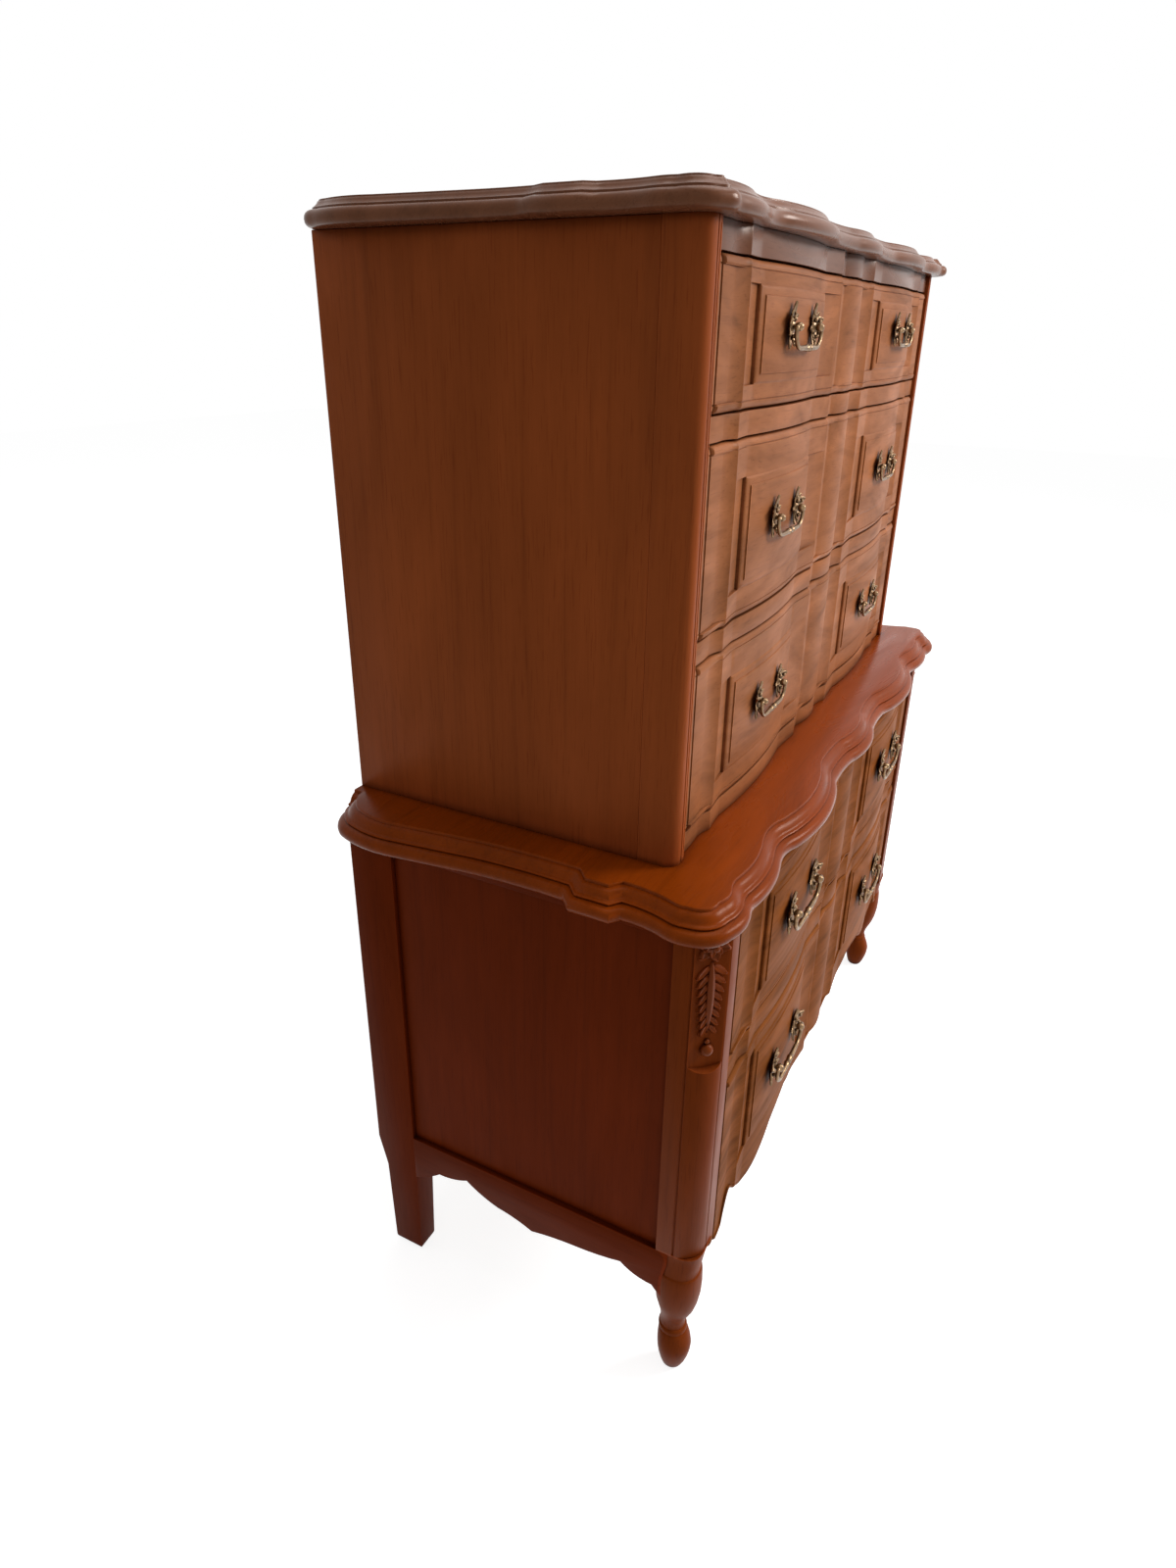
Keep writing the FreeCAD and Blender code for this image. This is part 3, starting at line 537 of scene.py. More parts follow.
def moulded_top(name, corners, section, under, solid):
    """A board whose edge is run with a moulding."""
    piece = bridged(name, [inset_ring(corners, inset, under + up) for up, inset in section])
    work_on(piece)
    pick_all()
    bpy.ops.mesh.bisect(plane_co=at(0, 0, 0), plane_no=(0, 1, 0), use_fill=True, clear_outer=True)
    done()
    finish = "cherry_top" if solid == "lower_top" else "cherry_cornice_and_shaded_frieze"
    finish_piece(piece, name, "case", finish, [solid], angle=42.0)


def leg_ring(side, z, x, depth, radius, square=2.0):
    """One section of a front leg, from round (2) to square (8), canted as the post is."""
    points = []
    for step in range(40):
        angle = side * math.tau * step / 40
        across, forward = math.cos(angle), math.sin(angle)
        corner = min(square, 2.7) if side * across > 0 and forward > 0 else square
        swell = (abs(across) ** corner + abs(forward) ** corner) ** (-1.0 / corner)
        points.append(at(side * x + radius * swell * across, depth + radius * swell * forward, z))
    return points


def front_leg(hand, side):
    piece = bridged("leg", [leg_ring(side, *section) for section in LEG])
    finish_piece(piece, "front_leg_" + hand, "case", "cherry_Z", ["lower_post_" + hand],
                 angle=38.0)


# ---------------------------------------------------------------- leaves, flowers and pulls
def leaf(length, width, curl, ridge, thick):
    """A carved or cast leaf that grows upwards from the origin and faces the front. Its tip
    comes forward by the curl."""
    bpy.ops.mesh.primitive_grid_add(x_subdivisions=4, y_subdivisions=8, size=1.0,
                                    rotation=(math.radians(90), 0, 0))
    piece = bpy.context.object
    piece.name = "leaf"
    piece.scale = (width * MM, length * MM, 1.0)
    bpy.ops.object.transform_apply()
    work_on(piece)
    outline = (0.45, 0.66, 0.92, 1.0, 0.86, 0.94, 0.70, 0.42, 0.06)
    for row, share in enumerate(outline):
        up = row / 8.0
        low = (up - 0.5) * length
        pick(piece, lambda vertex: abs(vertex.co.z / MM - low) < length / 32.0)
        bpy.ops.transform.resize(value=(share, 1.0, 1.0), center_override=(0, 0, 0))
        lift = curl * up ** 2.2 + 0.16 * length * up * (1.0 - up)
        move(forward=lift)
    pick_all()
    move(z=length / 2)
    pick(piece, lambda vertex: abs(vertex.co.x) < 0.02 * MM)
    move(forward=-ridge)
    done()
    body = piece.modifiers.new("thickness", "SOLIDIFY")
    body.thickness = thick * MM
    body.offset = -1.0
    soft = piece.modifiers.new("soft", "SUBSURF")
    soft.levels = soft.render_levels = 1
    for modifier in (body.name, soft.name):
        bpy.ops.object.modifier_apply(modifier=modifier)
    return piece


def ball(radius, x, y, z, flat=1.0):
    bpy.ops.mesh.primitive_uv_sphere_add(segments=16, ring_count=10, radius=radius * MM,
                                         location=(x * MM, y * MM, z * MM))
    piece = bpy.context.object
    piece.scale = (1.0, flat, 1.0)
    bpy.ops.object.transform_apply()
    return piece


def copy_of(piece, turn=0.0, x=0.0, y=0.0, z=0.0, size=1.0, mirror=False):
    """A copy with its own mesh, turned as a clock hand, then moved."""
    made = piece.copy()
    made.data = piece.data.copy()
    bpy.context.scene.collection.objects.link(made)
    flip = Matrix.Diagonal((-1.0 if mirror else 1.0, 1.0, 1.0, 1.0))
    grow = Matrix.Scale(size, 4)
    place = Matrix.Translation((x * MM, y * MM, z * MM))
    made.matrix_world = (place @ Matrix.Rotation(math.radians(turn), 4, "Y") @ flip @ grow
                         @ made.matrix_world)
    return made


def joined(pieces, name):
    """Join pieces into one, and point its faces outwards."""
    choose(*pieces)
    bpy.ops.object.transform_apply()
    bpy.ops.object.join()
    whole = bpy.context.object
    whole.name = name
    work_on(whole)
    face_outwards()
    return whole


def drop(*pieces):
    for piece in pieces:
        bpy.data.objects.remove(piece)


def turned(name, profile):
    """A turned piece: a line of radius and height, spun and laid with its axis to the front."""
    points = [Vector((radius, 0.0, height)) * MM for radius, height in profile]
    piece = trace(name, points)
    pick_all()
    bpy.ops.mesh.spin(steps=24, angle=math.tau, center=(0, 0, 0), axis=(0, 0, 1))
    pick_all()
    bpy.ops.mesh.remove_doubles(threshold=SAME)
    bpy.ops.mesh.normals_make_consistent(inside=False)
    bpy.ops.transform.rotate(value=math.radians(90), orient_axis="X", center_override=(0, 0, 0))
    done()
    return piece


def rosette():
    """Cast back plate of one pull post, about the ball that carries the bail, for the left."""
    tip = leaf(26.0, 12.0, 5.0, ridge=1.8, thick=2.6)
    broad = leaf(21.0, 15.0, 8.0, ridge=2.4, thick=2.8)
    small = leaf(14.0, 9.0, 4.0, ridge=1.5, thick=2.4)
    back = STANDOFF - 2.6
    pieces = [
        copy_of(tip, 5, 0, back, 3),
        copy_of(broad, -66, -3, back - 0.4, 2),
        copy_of(broad, -108, -3, back - 0.2, -3, size=0.86),
        copy_of(small, -30, -3, back - 1.0, 6),
        copy_of(small, 44, 2, back - 0.6, 4),
        copy_of(small, 92, 3, back - 0.4, -1),
        copy_of(tip, 200, -3, back - 0.4, -3, size=0.9),
        copy_of(tip, 164, 2, back - 0.8, -3, size=0.8),
        copy_of(small, 182, 0, back - 2.0, -4),
        ball(3.0, 0, back - 3.0, 9.0), ball(2.4, -15.5, back - 4.4, 7.2),
        ball(2.2, -16.0, back - 3.9, -7.0), ball(8.5, -0.5, back, 0, flat=0.55),
        ball(2.6, -4.0, back - 4.6, -11.0), ball(1.8, 3.2, back - 2.4, 15.0),
        turned("post", [(0.0, -6.0), (3.0, -5.2), (5.0, -2.8), (5.6, 0.0), (5.0, 2.8), (3.8, 4.4),
                        (3.6, 5.0), (4.8, 6.2), (3.8, 7.2), (4.0, 9.0), (5.6, 11.0),
                        (0.0, 11.6)]),
    ]
    drop(tip, broad, small)
    return joined(pieces, "rosette")


def bail_handle():
    """The swinging bail, swelling towards its middle, about its hinge."""
    half, low, sweep, bend = 56.5, -24.6, 20.0, 3.4
    line = [(43.0, 0.0), (50.0, 0.0)]
    for step in range(5):
        angle = math.radians(90 - step * 22.5)
        line.append((half - bend + bend * math.cos(angle), -bend + bend * math.sin(angle)))
    for step in range(9):
        angle = math.radians(-step * 11.25)
        line.append((half - sweep + sweep * math.cos(angle), low + sweep + sweep * math.sin(angle)))
    line += [(24.0, low), (14.0, low), (9.0, low), (7.0, low), (5.0, low), (0.0, low)]
    line += [(-x, z) for x, z in reversed(line[:-1])]
    bpy.ops.mesh.primitive_circle_add(vertices=14, radius=MM, fill_type="NGON",
                                      rotation=(0, math.radians(90), 0))
    piece = bpy.context.object
    bpy.ops.object.transform_apply()
    bpy.ops.object.mode_set(mode="EDIT")
    bpy.ops.mesh.select_mode(type="FACE")
    pick_all()
    spot, heading, thick = Vector((0, 0, 0)), 0.0, 1.0
    for index, (x, z) in enumerate(line):
        here = Vector((x, 0, z)) * MM
        before = Vector(line[max(index - 1, 0)])
        after = Vector(line[min(index + 1, len(line) - 1)])
        run = after - before
        ahead = math.atan2(run.y, run.x)
        radius = bail_radius(x, index in (0, len(line) - 1))
        if index:
            bpy.ops.mesh.extrude_region_move(TRANSFORM_OT_translate={"value": here - spot})
            turn = math.remainder(ahead - heading, math.tau)
        else:
            bpy.ops.transform.translate(value=here)
            turn = 0.0
        if abs(turn) > 1e-6:
            bpy.ops.transform.rotate(value=turn, orient_axis="Y", center_override=here)
        bpy.ops.transform.resize(value=(radius / thick,) * 3, center_override=here)
        spot, heading, thick = here, ahead, radius
    face_outwards()
    return piece


def bail_radius(x, end):
    """Radius of the bail: pins, then a rod that swells, with two beads round its middle."""
    if end:
        return 2.0
    if abs(x) == 7.0:
        return 4.6
    if abs(x) in (5.0, 9.0):
        return 3.6
    return 2.7 + 1.3 * max(0.0, 1.0 - abs(x) / 46.0)


def carving():
    """Flower, leaves and drop of a post, facing the front, about the foot of the post."""
    petal = leaf(19.0, 15.0, 5.5, ridge=2.2, thick=6.5)
    frond = leaf(19.0, 8.5, 3.5, ridge=1.6, thick=6.0)
    stem = leaf(100.0, 10.0, -2.0, ridge=-2.0, thick=8.5)
    flower = 674.0
    pieces = [copy_of(petal, 12 + 60 * turn, 0, 0.5, flower) for turn in range(6)]
    pieces += [copy_of(petal, 42 + 60 * turn, 0, -2.2, flower, size=0.62) for turn in range(6)]
    pieces += [ball(4.2, 0, -5.6, flower), ball(7.5, 0, -1.0, 539.0), ball(3.0, 0, -0.5, 549.5),
               copy_of(stem, 180, 0, 0.5, 655), copy_of(frond, 0, 0, 0.5, 684, size=0.9)]
    for step in range(8):
        z = 648.0 - 11.0 * step
        size = 1.08 - 0.05 * step
        for side in (-1, 1):
            pieces.append(copy_of(frond, side * (128 + 2.5 * step), side * 1.5, 0.6 - 0.2 * step, z,
                                  size))
    drop(petal, frond, stem)
    return joined(pieces, "carving")


# ---------------------------------------------------------------- finishes
def node(tree, kind, **values):
    made = tree.nodes.new("ShaderNode" + kind)
    for key, value in values.items():
        if key in made.inputs:
            made.inputs[key].default_value = value
        else:
            setattr(made, key.lower(), value)
    return made


def colours(tree, factor, stops):
    ramp = node(tree, "ValToRGB")
    ramp.color_ramp.interpolation = "EASE"
    while len(ramp.color_ramp.elements) < len(stops):
        ramp.color_ramp.elements.new(0.5)
    for element, (place, colour) in zip(ramp.color_ramp.elements, stops):
        element.position = place
        element.color = (*colour, 1.0)
    tree.links.new(factor, ramp.inputs["Fac"])
    return ramp.outputs["Color"]


def blend(tree, how, factor, a, b):
    mix = node(tree, "Mix")
    mix.data_type = "RGBA"
    mix.blend_type = how
    if isinstance(factor, float):
        mix.inputs["Factor"].default_value = factor
    else:
        tree.links.new(factor, mix.inputs["Factor"])
    for socket, value in (("A", a), ("B", b)):
        target = [s for s in mix.inputs if s.name == socket and s.type == "RGBA"][0]
        if isinstance(value, tuple):
            target.default_value = value
        else:
            tree.links.new(value, target)
    return [s for s in mix.outputs if s.type == "RGBA"][0]


def shades(colour, *levels):
    return [tuple(min(1.0, channel * level) for channel in colour) for level in levels]


def cherry(name, colour, run, figure=0.5, roughness=0.40, glaze_and_shade=0.85, sheen=0.10):
    """Lacquered fruitwood whose grain runs along one axis: X, Y or Z."""
    made = bpy.data.materials.new(name)
    made.use_nodes = True
    tree = made.node_tree
    link = tree.links.new
    tree.nodes.clear()
    out = node(tree, "OutputMaterial")
    shader = node(tree, "BsdfPrincipled")
    link(shader.outputs["BSDF"], out.inputs["Surface"])
    place = node(tree, "TexCoord")

    def grain(across, along, detail, distortion, fineness):
        scale = [across, across, across]
        scale["XYZ".index(run)] = along
        mapping = node(tree, "Mapping", Scale=scale)
        link(place.outputs["Object"], mapping.inputs["Vector"])
        noise = node(tree, "TexNoise", Scale=1.0, Detail=detail, Distortion=distortion,
                     Roughness=fineness)
        link(mapping.outputs["Vector"], noise.inputs["Vector"])
        return noise.outputs["Fac"]

    clouds = grain(4.2, 1.6, 2.0, 0.8, 0.5)
    flames = grain(9.5, 2.4, 3.0, 3.2, 0.55)
    streaks = grain(95.0, 3.0, 5.0, 0.5, 0.62)
    pores = grain(620.0, 26.0, 2.0, 0.0, 0.5)
    dark, low, mid, high = shades(colour, 0.48, 0.78, 1.0, 1.28)
    base = colours(tree, clouds, [(0.30, low), (0.5, mid), (0.70, high)])
    bands = colours(tree, flames, [(0.30, dark), (0.46, low), (0.58, mid), (0.72, high)])
    lines = colours(tree, streaks, [(0.30, dark), (0.48, mid), (0.70, high)])
    body = blend(tree, "MIX", figure, base, bands)
    body = blend(tree, "MIX", 0.26, body, lines)
    specks = colours(tree, pores, [(0.30, (0.62, 0.55, 0.50)), (0.42, (1.0, 1.0, 1.0))])
    body = blend(tree, "MULTIPLY", 0.45, body, specks)
    # Two passes by occlusion, each made into a ramp and multiplied in. The first darkens the wood
    # where it is occluded, in hollows, creases and between parts: painted shade, standing also for
    # a dark glaze in the recesses. The second lightens the sharp edges, as wear does.
    for inside, distance, strength, stops in (
            (False, 0.016, glaze_and_shade, [(0.30, (0.20, 0.13, 0.10)), (0.88, (1.0, 1.0, 1.0))]),
            (True, 0.0022, 1.0, [(0.45, (1.55, 1.50, 1.45)), (0.80, (1.0, 1.0, 1.0))])):
        near = node(tree, "AmbientOcclusion", Distance=distance, Inside=inside)
        near.samples = 6
        rubbed = colours(tree, near.outputs["AO"], stops)
        body = blend(tree, "MULTIPLY", strength, body, rubbed)
    link(body, shader.inputs["Base Color"])
    gloss = colours(tree, flames, [(0.2, (roughness + 0.06,) * 3), (0.8, (roughness - 0.06,) * 3)])
    link(gloss, shader.inputs["Roughness"])
    shader.inputs["Specular IOR Level"].default_value = sheen
    shader.inputs["Specular Tint"].default_value = (0.95, 0.62, 0.42, 1.0)
    bump = node(tree, "Bump", Strength=0.05, Distance=0.0004)
    link(streaks, bump.inputs["Height"])
    link(bump.outputs["Normal"], shader.inputs["Normal"])


def antique_brass(name, colour, patina):
    """Cast brass, dark all over and rubbed bright on its high spots."""
    made = bpy.data.materials.new(name)
    made.use_nodes = True
    tree = made.node_tree
    link = tree.links.new
    shader = tree.nodes["Principled BSDF"]
    place = node(tree, "TexCoord")
    spots = node(tree, "TexNoise", Scale=210.0, Detail=4.0, Roughness=0.6)
    link(place.outputs["Object"], spots.inputs["Vector"])
    metal = colours(tree, spots.outputs["Fac"], [(0.35, shades(colour, 0.45)[0]), (0.65, colour)])
    hollow = node(tree, "AmbientOcclusion", Distance=0.005)
    ridge = node(tree, "AmbientOcclusion", Distance=0.0006, Inside=True)
    hollow.samples = ridge.samples = 8
    open_to_air = colours(tree, hollow.outputs["AO"], [(0.55, (0, 0, 0)), (0.98, (0.32,) * 3)])
    rubbed = colours(tree, ridge.outputs["AO"], [(0.25, (0.7, 0.7, 0.7)), (0.50, (0, 0, 0))])
    bright = blend(tree, "ADD", 1.0, open_to_air, rubbed)
    body = blend(tree, "MIX", bright, (*patina, 1.0), metal)
    link(body, shader.inputs["Base Color"])
    rough = colours(tree, spots.outputs["Fac"], [(0.3, (0.42,) * 3), (0.7, (0.26,) * 3)])
    link(rough, shader.inputs["Roughness"])
    shader.inputs["Metallic"].default_value = 1.0
    bump = node(tree, "Bump", Strength=0.12, Distance=0.0005)
    link(spots.outputs["Fac"], bump.inputs["Height"])
    link(bump.outputs["Normal"], shader.inputs["Normal"])


# ---------------------------------------------------------------- settings
def tone(label, about, colour):
    """A colour setting."""
    return FloatVectorProperty(name=label, description="Colour of " + about, subtype="COLOR",
                               size=3, min=0.0, max=1.0, default=colour)


class ChestFinishes(bpy.types.PropertyGroup):
    """Colours of the wood and the metal."""

    front: tone("Fronts", "the drawer fronts and rails", (0.355, 0.122, 0.043))
    # The lower fronts and rails are a darker copy of the fronts: painted shade of the lower case.
    lower_front_shaded: tone("Lower fronts", "the fronts of the lower case", (0.27, 0.080, 0.018))
    side: tone("Sides", "the sides and posts of the upper case", (0.33, 0.074, 0.017))
    # The lower posts, legs and carving take a darker tone, set close to the shaded lower sides:
    # painted shade.
    post: tone("Posts", "the lower front posts and legs", (0.225, 0.041, 0.006))
    top: tone("Top", "the top of the lower case", (0.25, 0.040, 0.002))
    # On the upper frieze this darker tone is painted shade under the cornice.
    cornice: tone("Upper top", "the top and frieze of the upper case", (0.18, 0.064, 0.030))
    # The lower case is a darker copy of the wood: painted shade.
    low: tone("Lower case", "the sides of the lower case", (0.165, 0.022, 0.003))
    hidden: tone("Inner wood", "the drawer sides and inner boards", (0.52, 0.31, 0.17))
    brass: tone("Brass", "the pulls where they are rubbed", (0.62, 0.42, 0.24))
    patina: tone("Patina", "the hollows of the pulls", (0.12, 0.064, 0.031))


class ChestSizes(bpy.types.PropertyGroup):
    """Sizes of the joiner's details."""

    edge: FloatProperty(
        name="Eased edges", description="Rounding of the sharp edges", subtype="DISTANCE",
        unit="LENGTH", min=0.0001, max=0.004, default=0.0009)


# ---------------------------------------------------------------- operators
class CHEST_OT_finishes(bpy.types.Operator):
    """Mix the finishes of the wood and the metal"""

    bl_idname = "chest.finishes"
    bl_label = "Finishes"

    def execute(self, context):
        tones = context.scene.chest_finishes
        cherry("cherry_X", tuple(tones.front), "X", figure=0.85, roughness=0.44, sheen=0.08)
        # A darker copy of the fronts for the lower case: painted shade.
        cherry("cherry_lower_front_shaded", tuple(tones.lower_front_shaded), "X", figure=0.9, roughness=0.46,
               sheen=0.015)
        # Lower posts and legs in the darker tone: painted shade of the lower case.
        cherry("cherry_Z", tuple(tones.post), "Z", figure=0.3, sheen=0.045)
        cherry("cherry_side", tuple(tones.side), "Z", figure=0.2, roughness=0.44, sheen=0.06)
        cherry("cherry_top", tuple(tones.top), "X", figure=0.35, roughness=0.28, sheen=0.10)
        # Also laid on the upper frieze, where it is painted shade under the cornice.
        cherry("cherry_cornice_and_shaded_frieze", tuple(tones.cornice), "X", figure=0.4, roughness=0.26,
               sheen=0.20)
        for run in "YZ":
            # The lower sides, rails, aprons and back posts take a darker copy of the wood: painted
            # shade of the lower case.
            cherry("cherry_shaded_low_" + run, tuple(tones.low), run, figure=0.3, sheen=0.03)
        # The carving is darkened in full in its hollows: painted shade.
        cherry("cherry_carved", tuple(tones.post), "Z", figure=0.2, glaze_and_shade=1.0, sheen=0.16)
        cherry("inner_wood", tuple(tones.hidden), "X", figure=0.2, roughness=0.62)
        antique_brass("worn_brass", tuple(tones.brass), tuple(tones.patina))
        return {"FINISHED"}


class CHEST_OT_boards(bpy.types.Operator):
    """Give the plain boards, the hidden ones and the drawer boxes their wood"""

    bl_idname = "chest.boards"
    bl_label = "Plain boards"

    def execute(self, context):
        for name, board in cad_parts.items():
            finish = "cherry_X"
            if name in HIDDEN_WOOD or name.endswith(("_box", "_bottom")):
                finish = "inner_wood"
            elif "pull" in name or "bail" in name:
                finish = "worn_brass"
            # The lower sides and back posts take the darker copy of the wood: painted shade.
            elif "lower_side" in name or "lower_back_post" in name:
                finish = "cherry_shaded_low_Z"
            elif "upper_side" in name or "post" in name:
                finish = "cherry_side"
            board.data.materials.clear()
            board.data.materials.append(bpy.data.materials[finish])
        return {"FINISHED"}


class CHEST_OT_polished_boards(bpy.types.Operator):
    """Ease the edges of the sides, posts, legs and aprons"""

    bl_idname = "chest.polished_boards"
    bl_label = "Sides, posts and legs"

    def execute(self, context):
        width = context.scene.chest_sizes.edge
        solids = [name + hand for name in ("upper_side", "upper_post", "lower_post",
                                           "lower_back_post") for hand in ("_right", "_left")]
        for solid in solids + ["lower_side_rails", "lower_side_aprons"]:
            piece = merged_copy(solid)
            if solid.startswith("lower_post"):
                work_on(piece)
                pick_all()
                bpy.ops.mesh.bisect(plane_co=at(0, 0, POST_FOOT), plane_no=(0, 0, 1),
                                    use_fill=True, clear_inner=True)
                done()
            ease(piece, width * POST_EASE if "upper_post" in solid else width)
            if "upper_post" in solid:
                stopped_quirk(piece, 1 if solid.endswith("right") else -1)
            # The lower back posts, side rails and aprons take the darker copy of the wood: painted
            # shade.
            finish = "cherry_shaded_low_Z" if "back_post" in solid else "cherry_Z"
            if "upper" in solid:
                finish = "cherry_side"
            elif "lower_side" in solid:
                finish = "cherry_shaded_low_Y"
            finish_piece(piece, solid + "_polished", "case", finish, [solid], angle=35.0)
        front_leg("right", 1)
        front_leg("left", -1)
        return {"FINISHED"}


class CHEST_OT_drawer_fronts(bpy.types.Operator):
    """Shape the five serpentine drawer fronts with their raised fields"""

    bl_idname = "chest.drawer_fronts"
    bl_label = "Drawer fronts"

    def execute(self, context):
        for number in range(1, len(DRAWERS) + 1):
            drawer_front(number)
        return {"FINISHED"}


class CHEST_OT_rails(bpy.types.Operator):
    """Shape the serpentine rails between the drawers"""

    bl_idname = "chest.rails"
    bl_label = "Rails"

    def execute(self, context):
        first, second, third, fourth, fifth = DRAWERS
        for name, front, low, high, solid in (
                ("upper_frieze", UPPER_FRONT, first[1], UPPER_UNDER, "upper_frieze_rail"),
                ("upper_rail_1_2", UPPER_FRONT, second[1], first[0], "upper_drawer_rails"),
                ("upper_rail_2_3", UPPER_FRONT, third[1], second[0], "upper_drawer_rails"),
                ("upper_base", UPPER_FRONT, UPPER_BOTTOM, third[0], "upper_base_rail"),
                ("lower_frieze", LOWER_FRONT, fourth[1], LOWER_UNDER, "lower_frieze_rail"),
                ("lower_rail_4_5_shaped", LOWER_FRONT, fifth[1], fourth[0], "lower_rail_4_5")):
            serpentine_rail(name, front, low, high, solid)
        return {"FINISHED"}


class CHEST_OT_tops(bpy.types.Operator):
    """Run the mouldings of the two tops"""

    bl_idname = "chest.tops"
    bl_label = "Moulded tops"

    def execute(self, context):
        moulded_top("upper_top_moulded", top_corners(UPPER_FRONT, *UPPER_TOP), BULLNOSE,
                    UPPER_UNDER, "upper_top")
        moulded_top("lower_top_moulded", top_corners(LOWER_FRONT, *LOWER_TOP), LEDGE_EDGE,
                    LOWER_UNDER, "lower_top")
        return {"FINISHED"}


class CHEST_OT_pulls(bpy.types.Operator):
    """Cast the rosettes and the bails and hang a pair on each drawer"""

    bl_idname = "chest.pulls"
    bl_label = "Pulls"

    def execute(self, context):
        plate = rosette()
        handle = bail_handle()
        for number, (low, high, front, field_low, field_high) in enumerate(DRAWERS, 1):
            size = UPPER_PULL if front == UPPER_FRONT else 1.0
            fall = FIELD_RADIUS - math.sqrt(FIELD_RADIUS ** 2 - (PULL_SPAN * size) ** 2)
            depth = front + FIELD_PEAK - fall + STANDOFF * size
            height = (field_low + field_high) / 2 + PULL_UP * size
            plates = []
            for hand, x in (("left", -FIELD_X), ("right", FIELD_X)):
                for side in (-1, 1):
                    plates.append(copy_of(plate, 0, x + side * PULL_SPAN * size,
                                          CENTRE_DEPTH - depth, height, size, side > 0))
                swing = copy_of(handle, 0, x, CENTRE_DEPTH - depth, height, size)
                name = "drawer_%d_bail_%s" % (number, hand)
                finish_piece(swing, name + "_swelled", name, "worn_brass", [name], 40.0)
            posts = joined(plates, "plates")
            body = "drawer_%d" % number
            finish_piece(posts, body + "_rosettes", body, "worn_brass",
                         [body + "_pull_posts"], 50.0)
        drop(plate, handle)
        return {"FINISHED"}


class CHEST_OT_carvings(bpy.types.Operator):
    """Carve the flower and the leaves in the hollow of both front posts"""

    bl_idname = "chest.carvings"
    bl_label = "Carvings"

    def execute(self, context):
        model = carving()
        turn = math.radians(HOLLOW_TURN)
        for hand, side in (("right", 1), ("left", -1)):
            made = joined([copy_of(model, mirror=side < 0)], "carved")
            work_on(made)
            pick_all()
            bpy.ops.transform.rotate(value=-side * turn, orient_axis="Z",
                                     center_override=(0, 0, 0))
            bpy.ops.transform.translate(value=at(side * HOLLOW_X, HOLLOW_DEPTH, 0))
            move(x=-side * CARVING_IN * math.sin(turn), forward=-CARVING_IN * math.cos(turn))
            done()
            finish_piece(made, "post_carved_" + hand, "case", "cherry_carved",
                         ["post_carving_" + hand], angle=50.0)
        drop(model)
        return {"FINISHED"}


# Lamps: place, size and power
LAMPS = {
    "window": ((1.9, -2.9, 2.8), 1.4, 122.0),
    "fill": ((-3.4, -1.2, 2.4), 2.6, 7.0),
    "overhead": ((0.3, -0.4, 3.8), 2.4, 44.0),
}
LAMP_AIM = (0, 0, 0.8)
# Camera: place in metres; heading, dip and tilt in radians; focal length, shift and the long side
# of its frame in dots; width of its sensor in millimetres
EYE = (-1.3099, -0.47455, 1.25165)
HEADING, DIP, TILT = 1.0840, 0.41824, 0.0110
FOCAL, SHIFT, LONG_SIDE = 976.04, (7.83, -27.23), 1600.0
SENSOR = 36.0


def camera_pose():
    """Where the camera stands and how it is turned."""
    forward = Vector((math.sin(HEADING) * math.cos(DIP), math.cos(HEADING) * math.cos(DIP),
                      -math.sin(DIP)))
    right = Vector((math.cos(HEADING), -math.sin(HEADING), 0.0))
    upward = right.cross(forward)
    across = right * math.cos(TILT) + upward * math.sin(TILT)
    upright = upward * math.cos(TILT) - right * math.sin(TILT)
    pose = Matrix((across, upright, -forward)).transposed().to_4x4()
    pose.translation = Vector(EYE)
    return pose


class CHEST_OT_stage(bpy.types.Operator):
    """Set the floor, the lights and the camera"""

    bl_idname = "chest.stage"
    bl_label = "Stage"

    def execute(self, context):
        scene = context.scene
        bpy.ops.mesh.primitive_plane_add(size=24.0, location=(0, 0, 0))
        floor = context.object
        floor.name = "floor"
        floor.data.materials.append(pale_floor())

        world = bpy.data.worlds.new("studio")
        scene.world = world
        world.use_nodes = True
        tree = world.node_tree
        sky = tree.nodes["Background"]
        sky.inputs["Color"].default_value = (1.0, 1.0, 1.0, 1.0)
        level = node(tree, "MapRange")
        level.inputs["To Min"].default_value = 0.24
        level.inputs["To Max"].default_value = 1.0
        tree.links.new(seen_ray(tree), level.inputs["Value"])
        tree.links.new(level.outputs["Result"], sky.inputs["Strength"])

        for name, (place, size, power) in LAMPS.items():
            bpy.ops.object.light_add(type="AREA", location=place)
            lamp = context.object
            lamp.name = name
            lamp.data.size = size
            lamp.data.energy = power
            aim = Vector(LAMP_AIM) - Vector(place)
            lamp.rotation_euler = aim.to_track_quat("-Z", "Y").to_euler()

        bpy.ops.object.camera_add()
        camera = context.object
        camera.matrix_world = camera_pose()
        camera.data.sensor_width = SENSOR
        camera.data.lens = FOCAL / LONG_SIDE * SENSOR
        camera.data.shift_x = SHIFT[0] / LONG_SIDE
        camera.data.shift_y = SHIFT[1] / LONG_SIDE
        camera.data.clip_start = 0.05
        camera.data.clip_end = 50.0
        scene.camera = camera
        scene.view_settings.view_transform = "Standard"
        return {"FINISHED"}


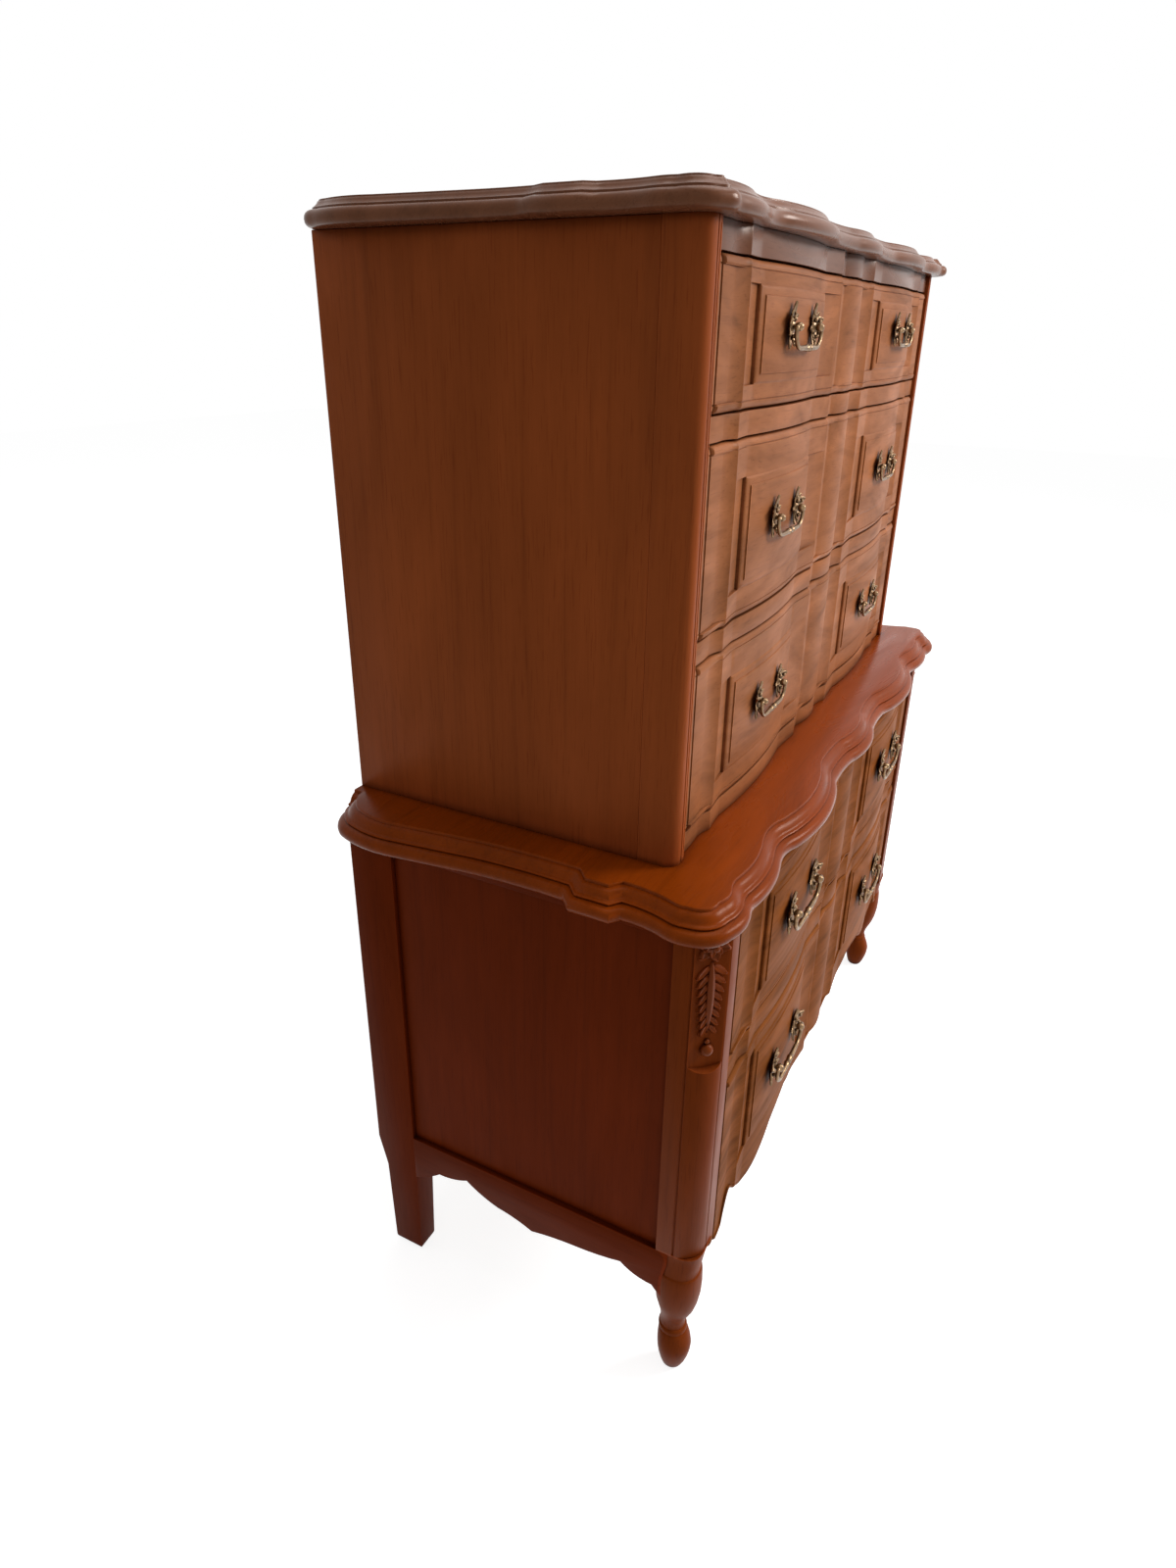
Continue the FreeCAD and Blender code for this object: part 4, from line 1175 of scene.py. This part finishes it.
def seen_ray(tree):
    """One where the eye sees a surface straight, in a reflection or through glass."""
    ray = node(tree, "LightPath")
    seen = ray.outputs["Is Camera Ray"]
    for other in ("Is Glossy Ray", "Is Transmission Ray"):
        most = node(tree, "Math", Operation="MAXIMUM")
        tree.links.new(seen, most.inputs[0])
        tree.links.new(ray.outputs[other], most.inputs[1])
        seen = most.outputs[0]
    return seen


def pale_floor():
    """White floor that keeps the chest's shadow."""
    made = bpy.data.materials.new("pale_floor")
    made.use_nodes = True
    tree = made.node_tree
    shader = tree.nodes["Principled BSDF"]
    shader.inputs["Base Color"].default_value = (0.62, 0.62, 0.62, 1.0)
    shader.inputs["Roughness"].default_value = 0.9
    shader.inputs["Specular IOR Level"].default_value = 0.0
    shader.inputs["Emission Color"].default_value = (1.0, 1.0, 1.0, 1.0)
    level = node(tree, "Math", Operation="MULTIPLY")
    level.inputs[1].default_value = 0.84
    tree.links.new(seen_ray(tree), level.inputs[0])
    tree.links.new(level.outputs[0], shader.inputs["Emission Strength"])
    return made


class CHEST_PT_panel(bpy.types.Panel):
    """Lists the steps in the order in which they are done"""

    bl_label = "Chest on Chest"
    bl_idname = "CHEST_PT_panel"
    bl_space_type = "VIEW_3D"
    bl_region_type = "UI"
    bl_category = "Chest"

    def draw(self, context):
        for step in STEPS:
            self.layout.operator(step.bl_idname)


STEPS = (CHEST_OT_finishes, CHEST_OT_boards, CHEST_OT_polished_boards, CHEST_OT_drawer_fronts,
         CHEST_OT_rails, CHEST_OT_tops, CHEST_OT_pulls, CHEST_OT_carvings,
         CHEST_OT_stage)
CLASSES = (ChestFinishes, ChestSizes, *STEPS, CHEST_PT_panel)


def register():
    for made in CLASSES:
        bpy.utils.register_class(made)
    bpy.types.Scene.chest_finishes = PointerProperty(type=ChestFinishes)
    bpy.types.Scene.chest_sizes = PointerProperty(type=ChestSizes)


def unregister():
    del bpy.types.Scene.chest_finishes
    del bpy.types.Scene.chest_sizes
    for made in reversed(CLASSES):
        bpy.utils.unregister_class(made)


def main():
    register()
    bpy.ops.chest.finishes()
    bpy.ops.chest.boards()
    bpy.ops.chest.polished_boards()
    bpy.ops.chest.drawer_fronts()
    bpy.ops.chest.rails()
    bpy.ops.chest.tops()
    bpy.ops.chest.pulls()
    bpy.ops.chest.carvings()
    bpy.ops.chest.stage()


if __name__ == "__main__":
    main()
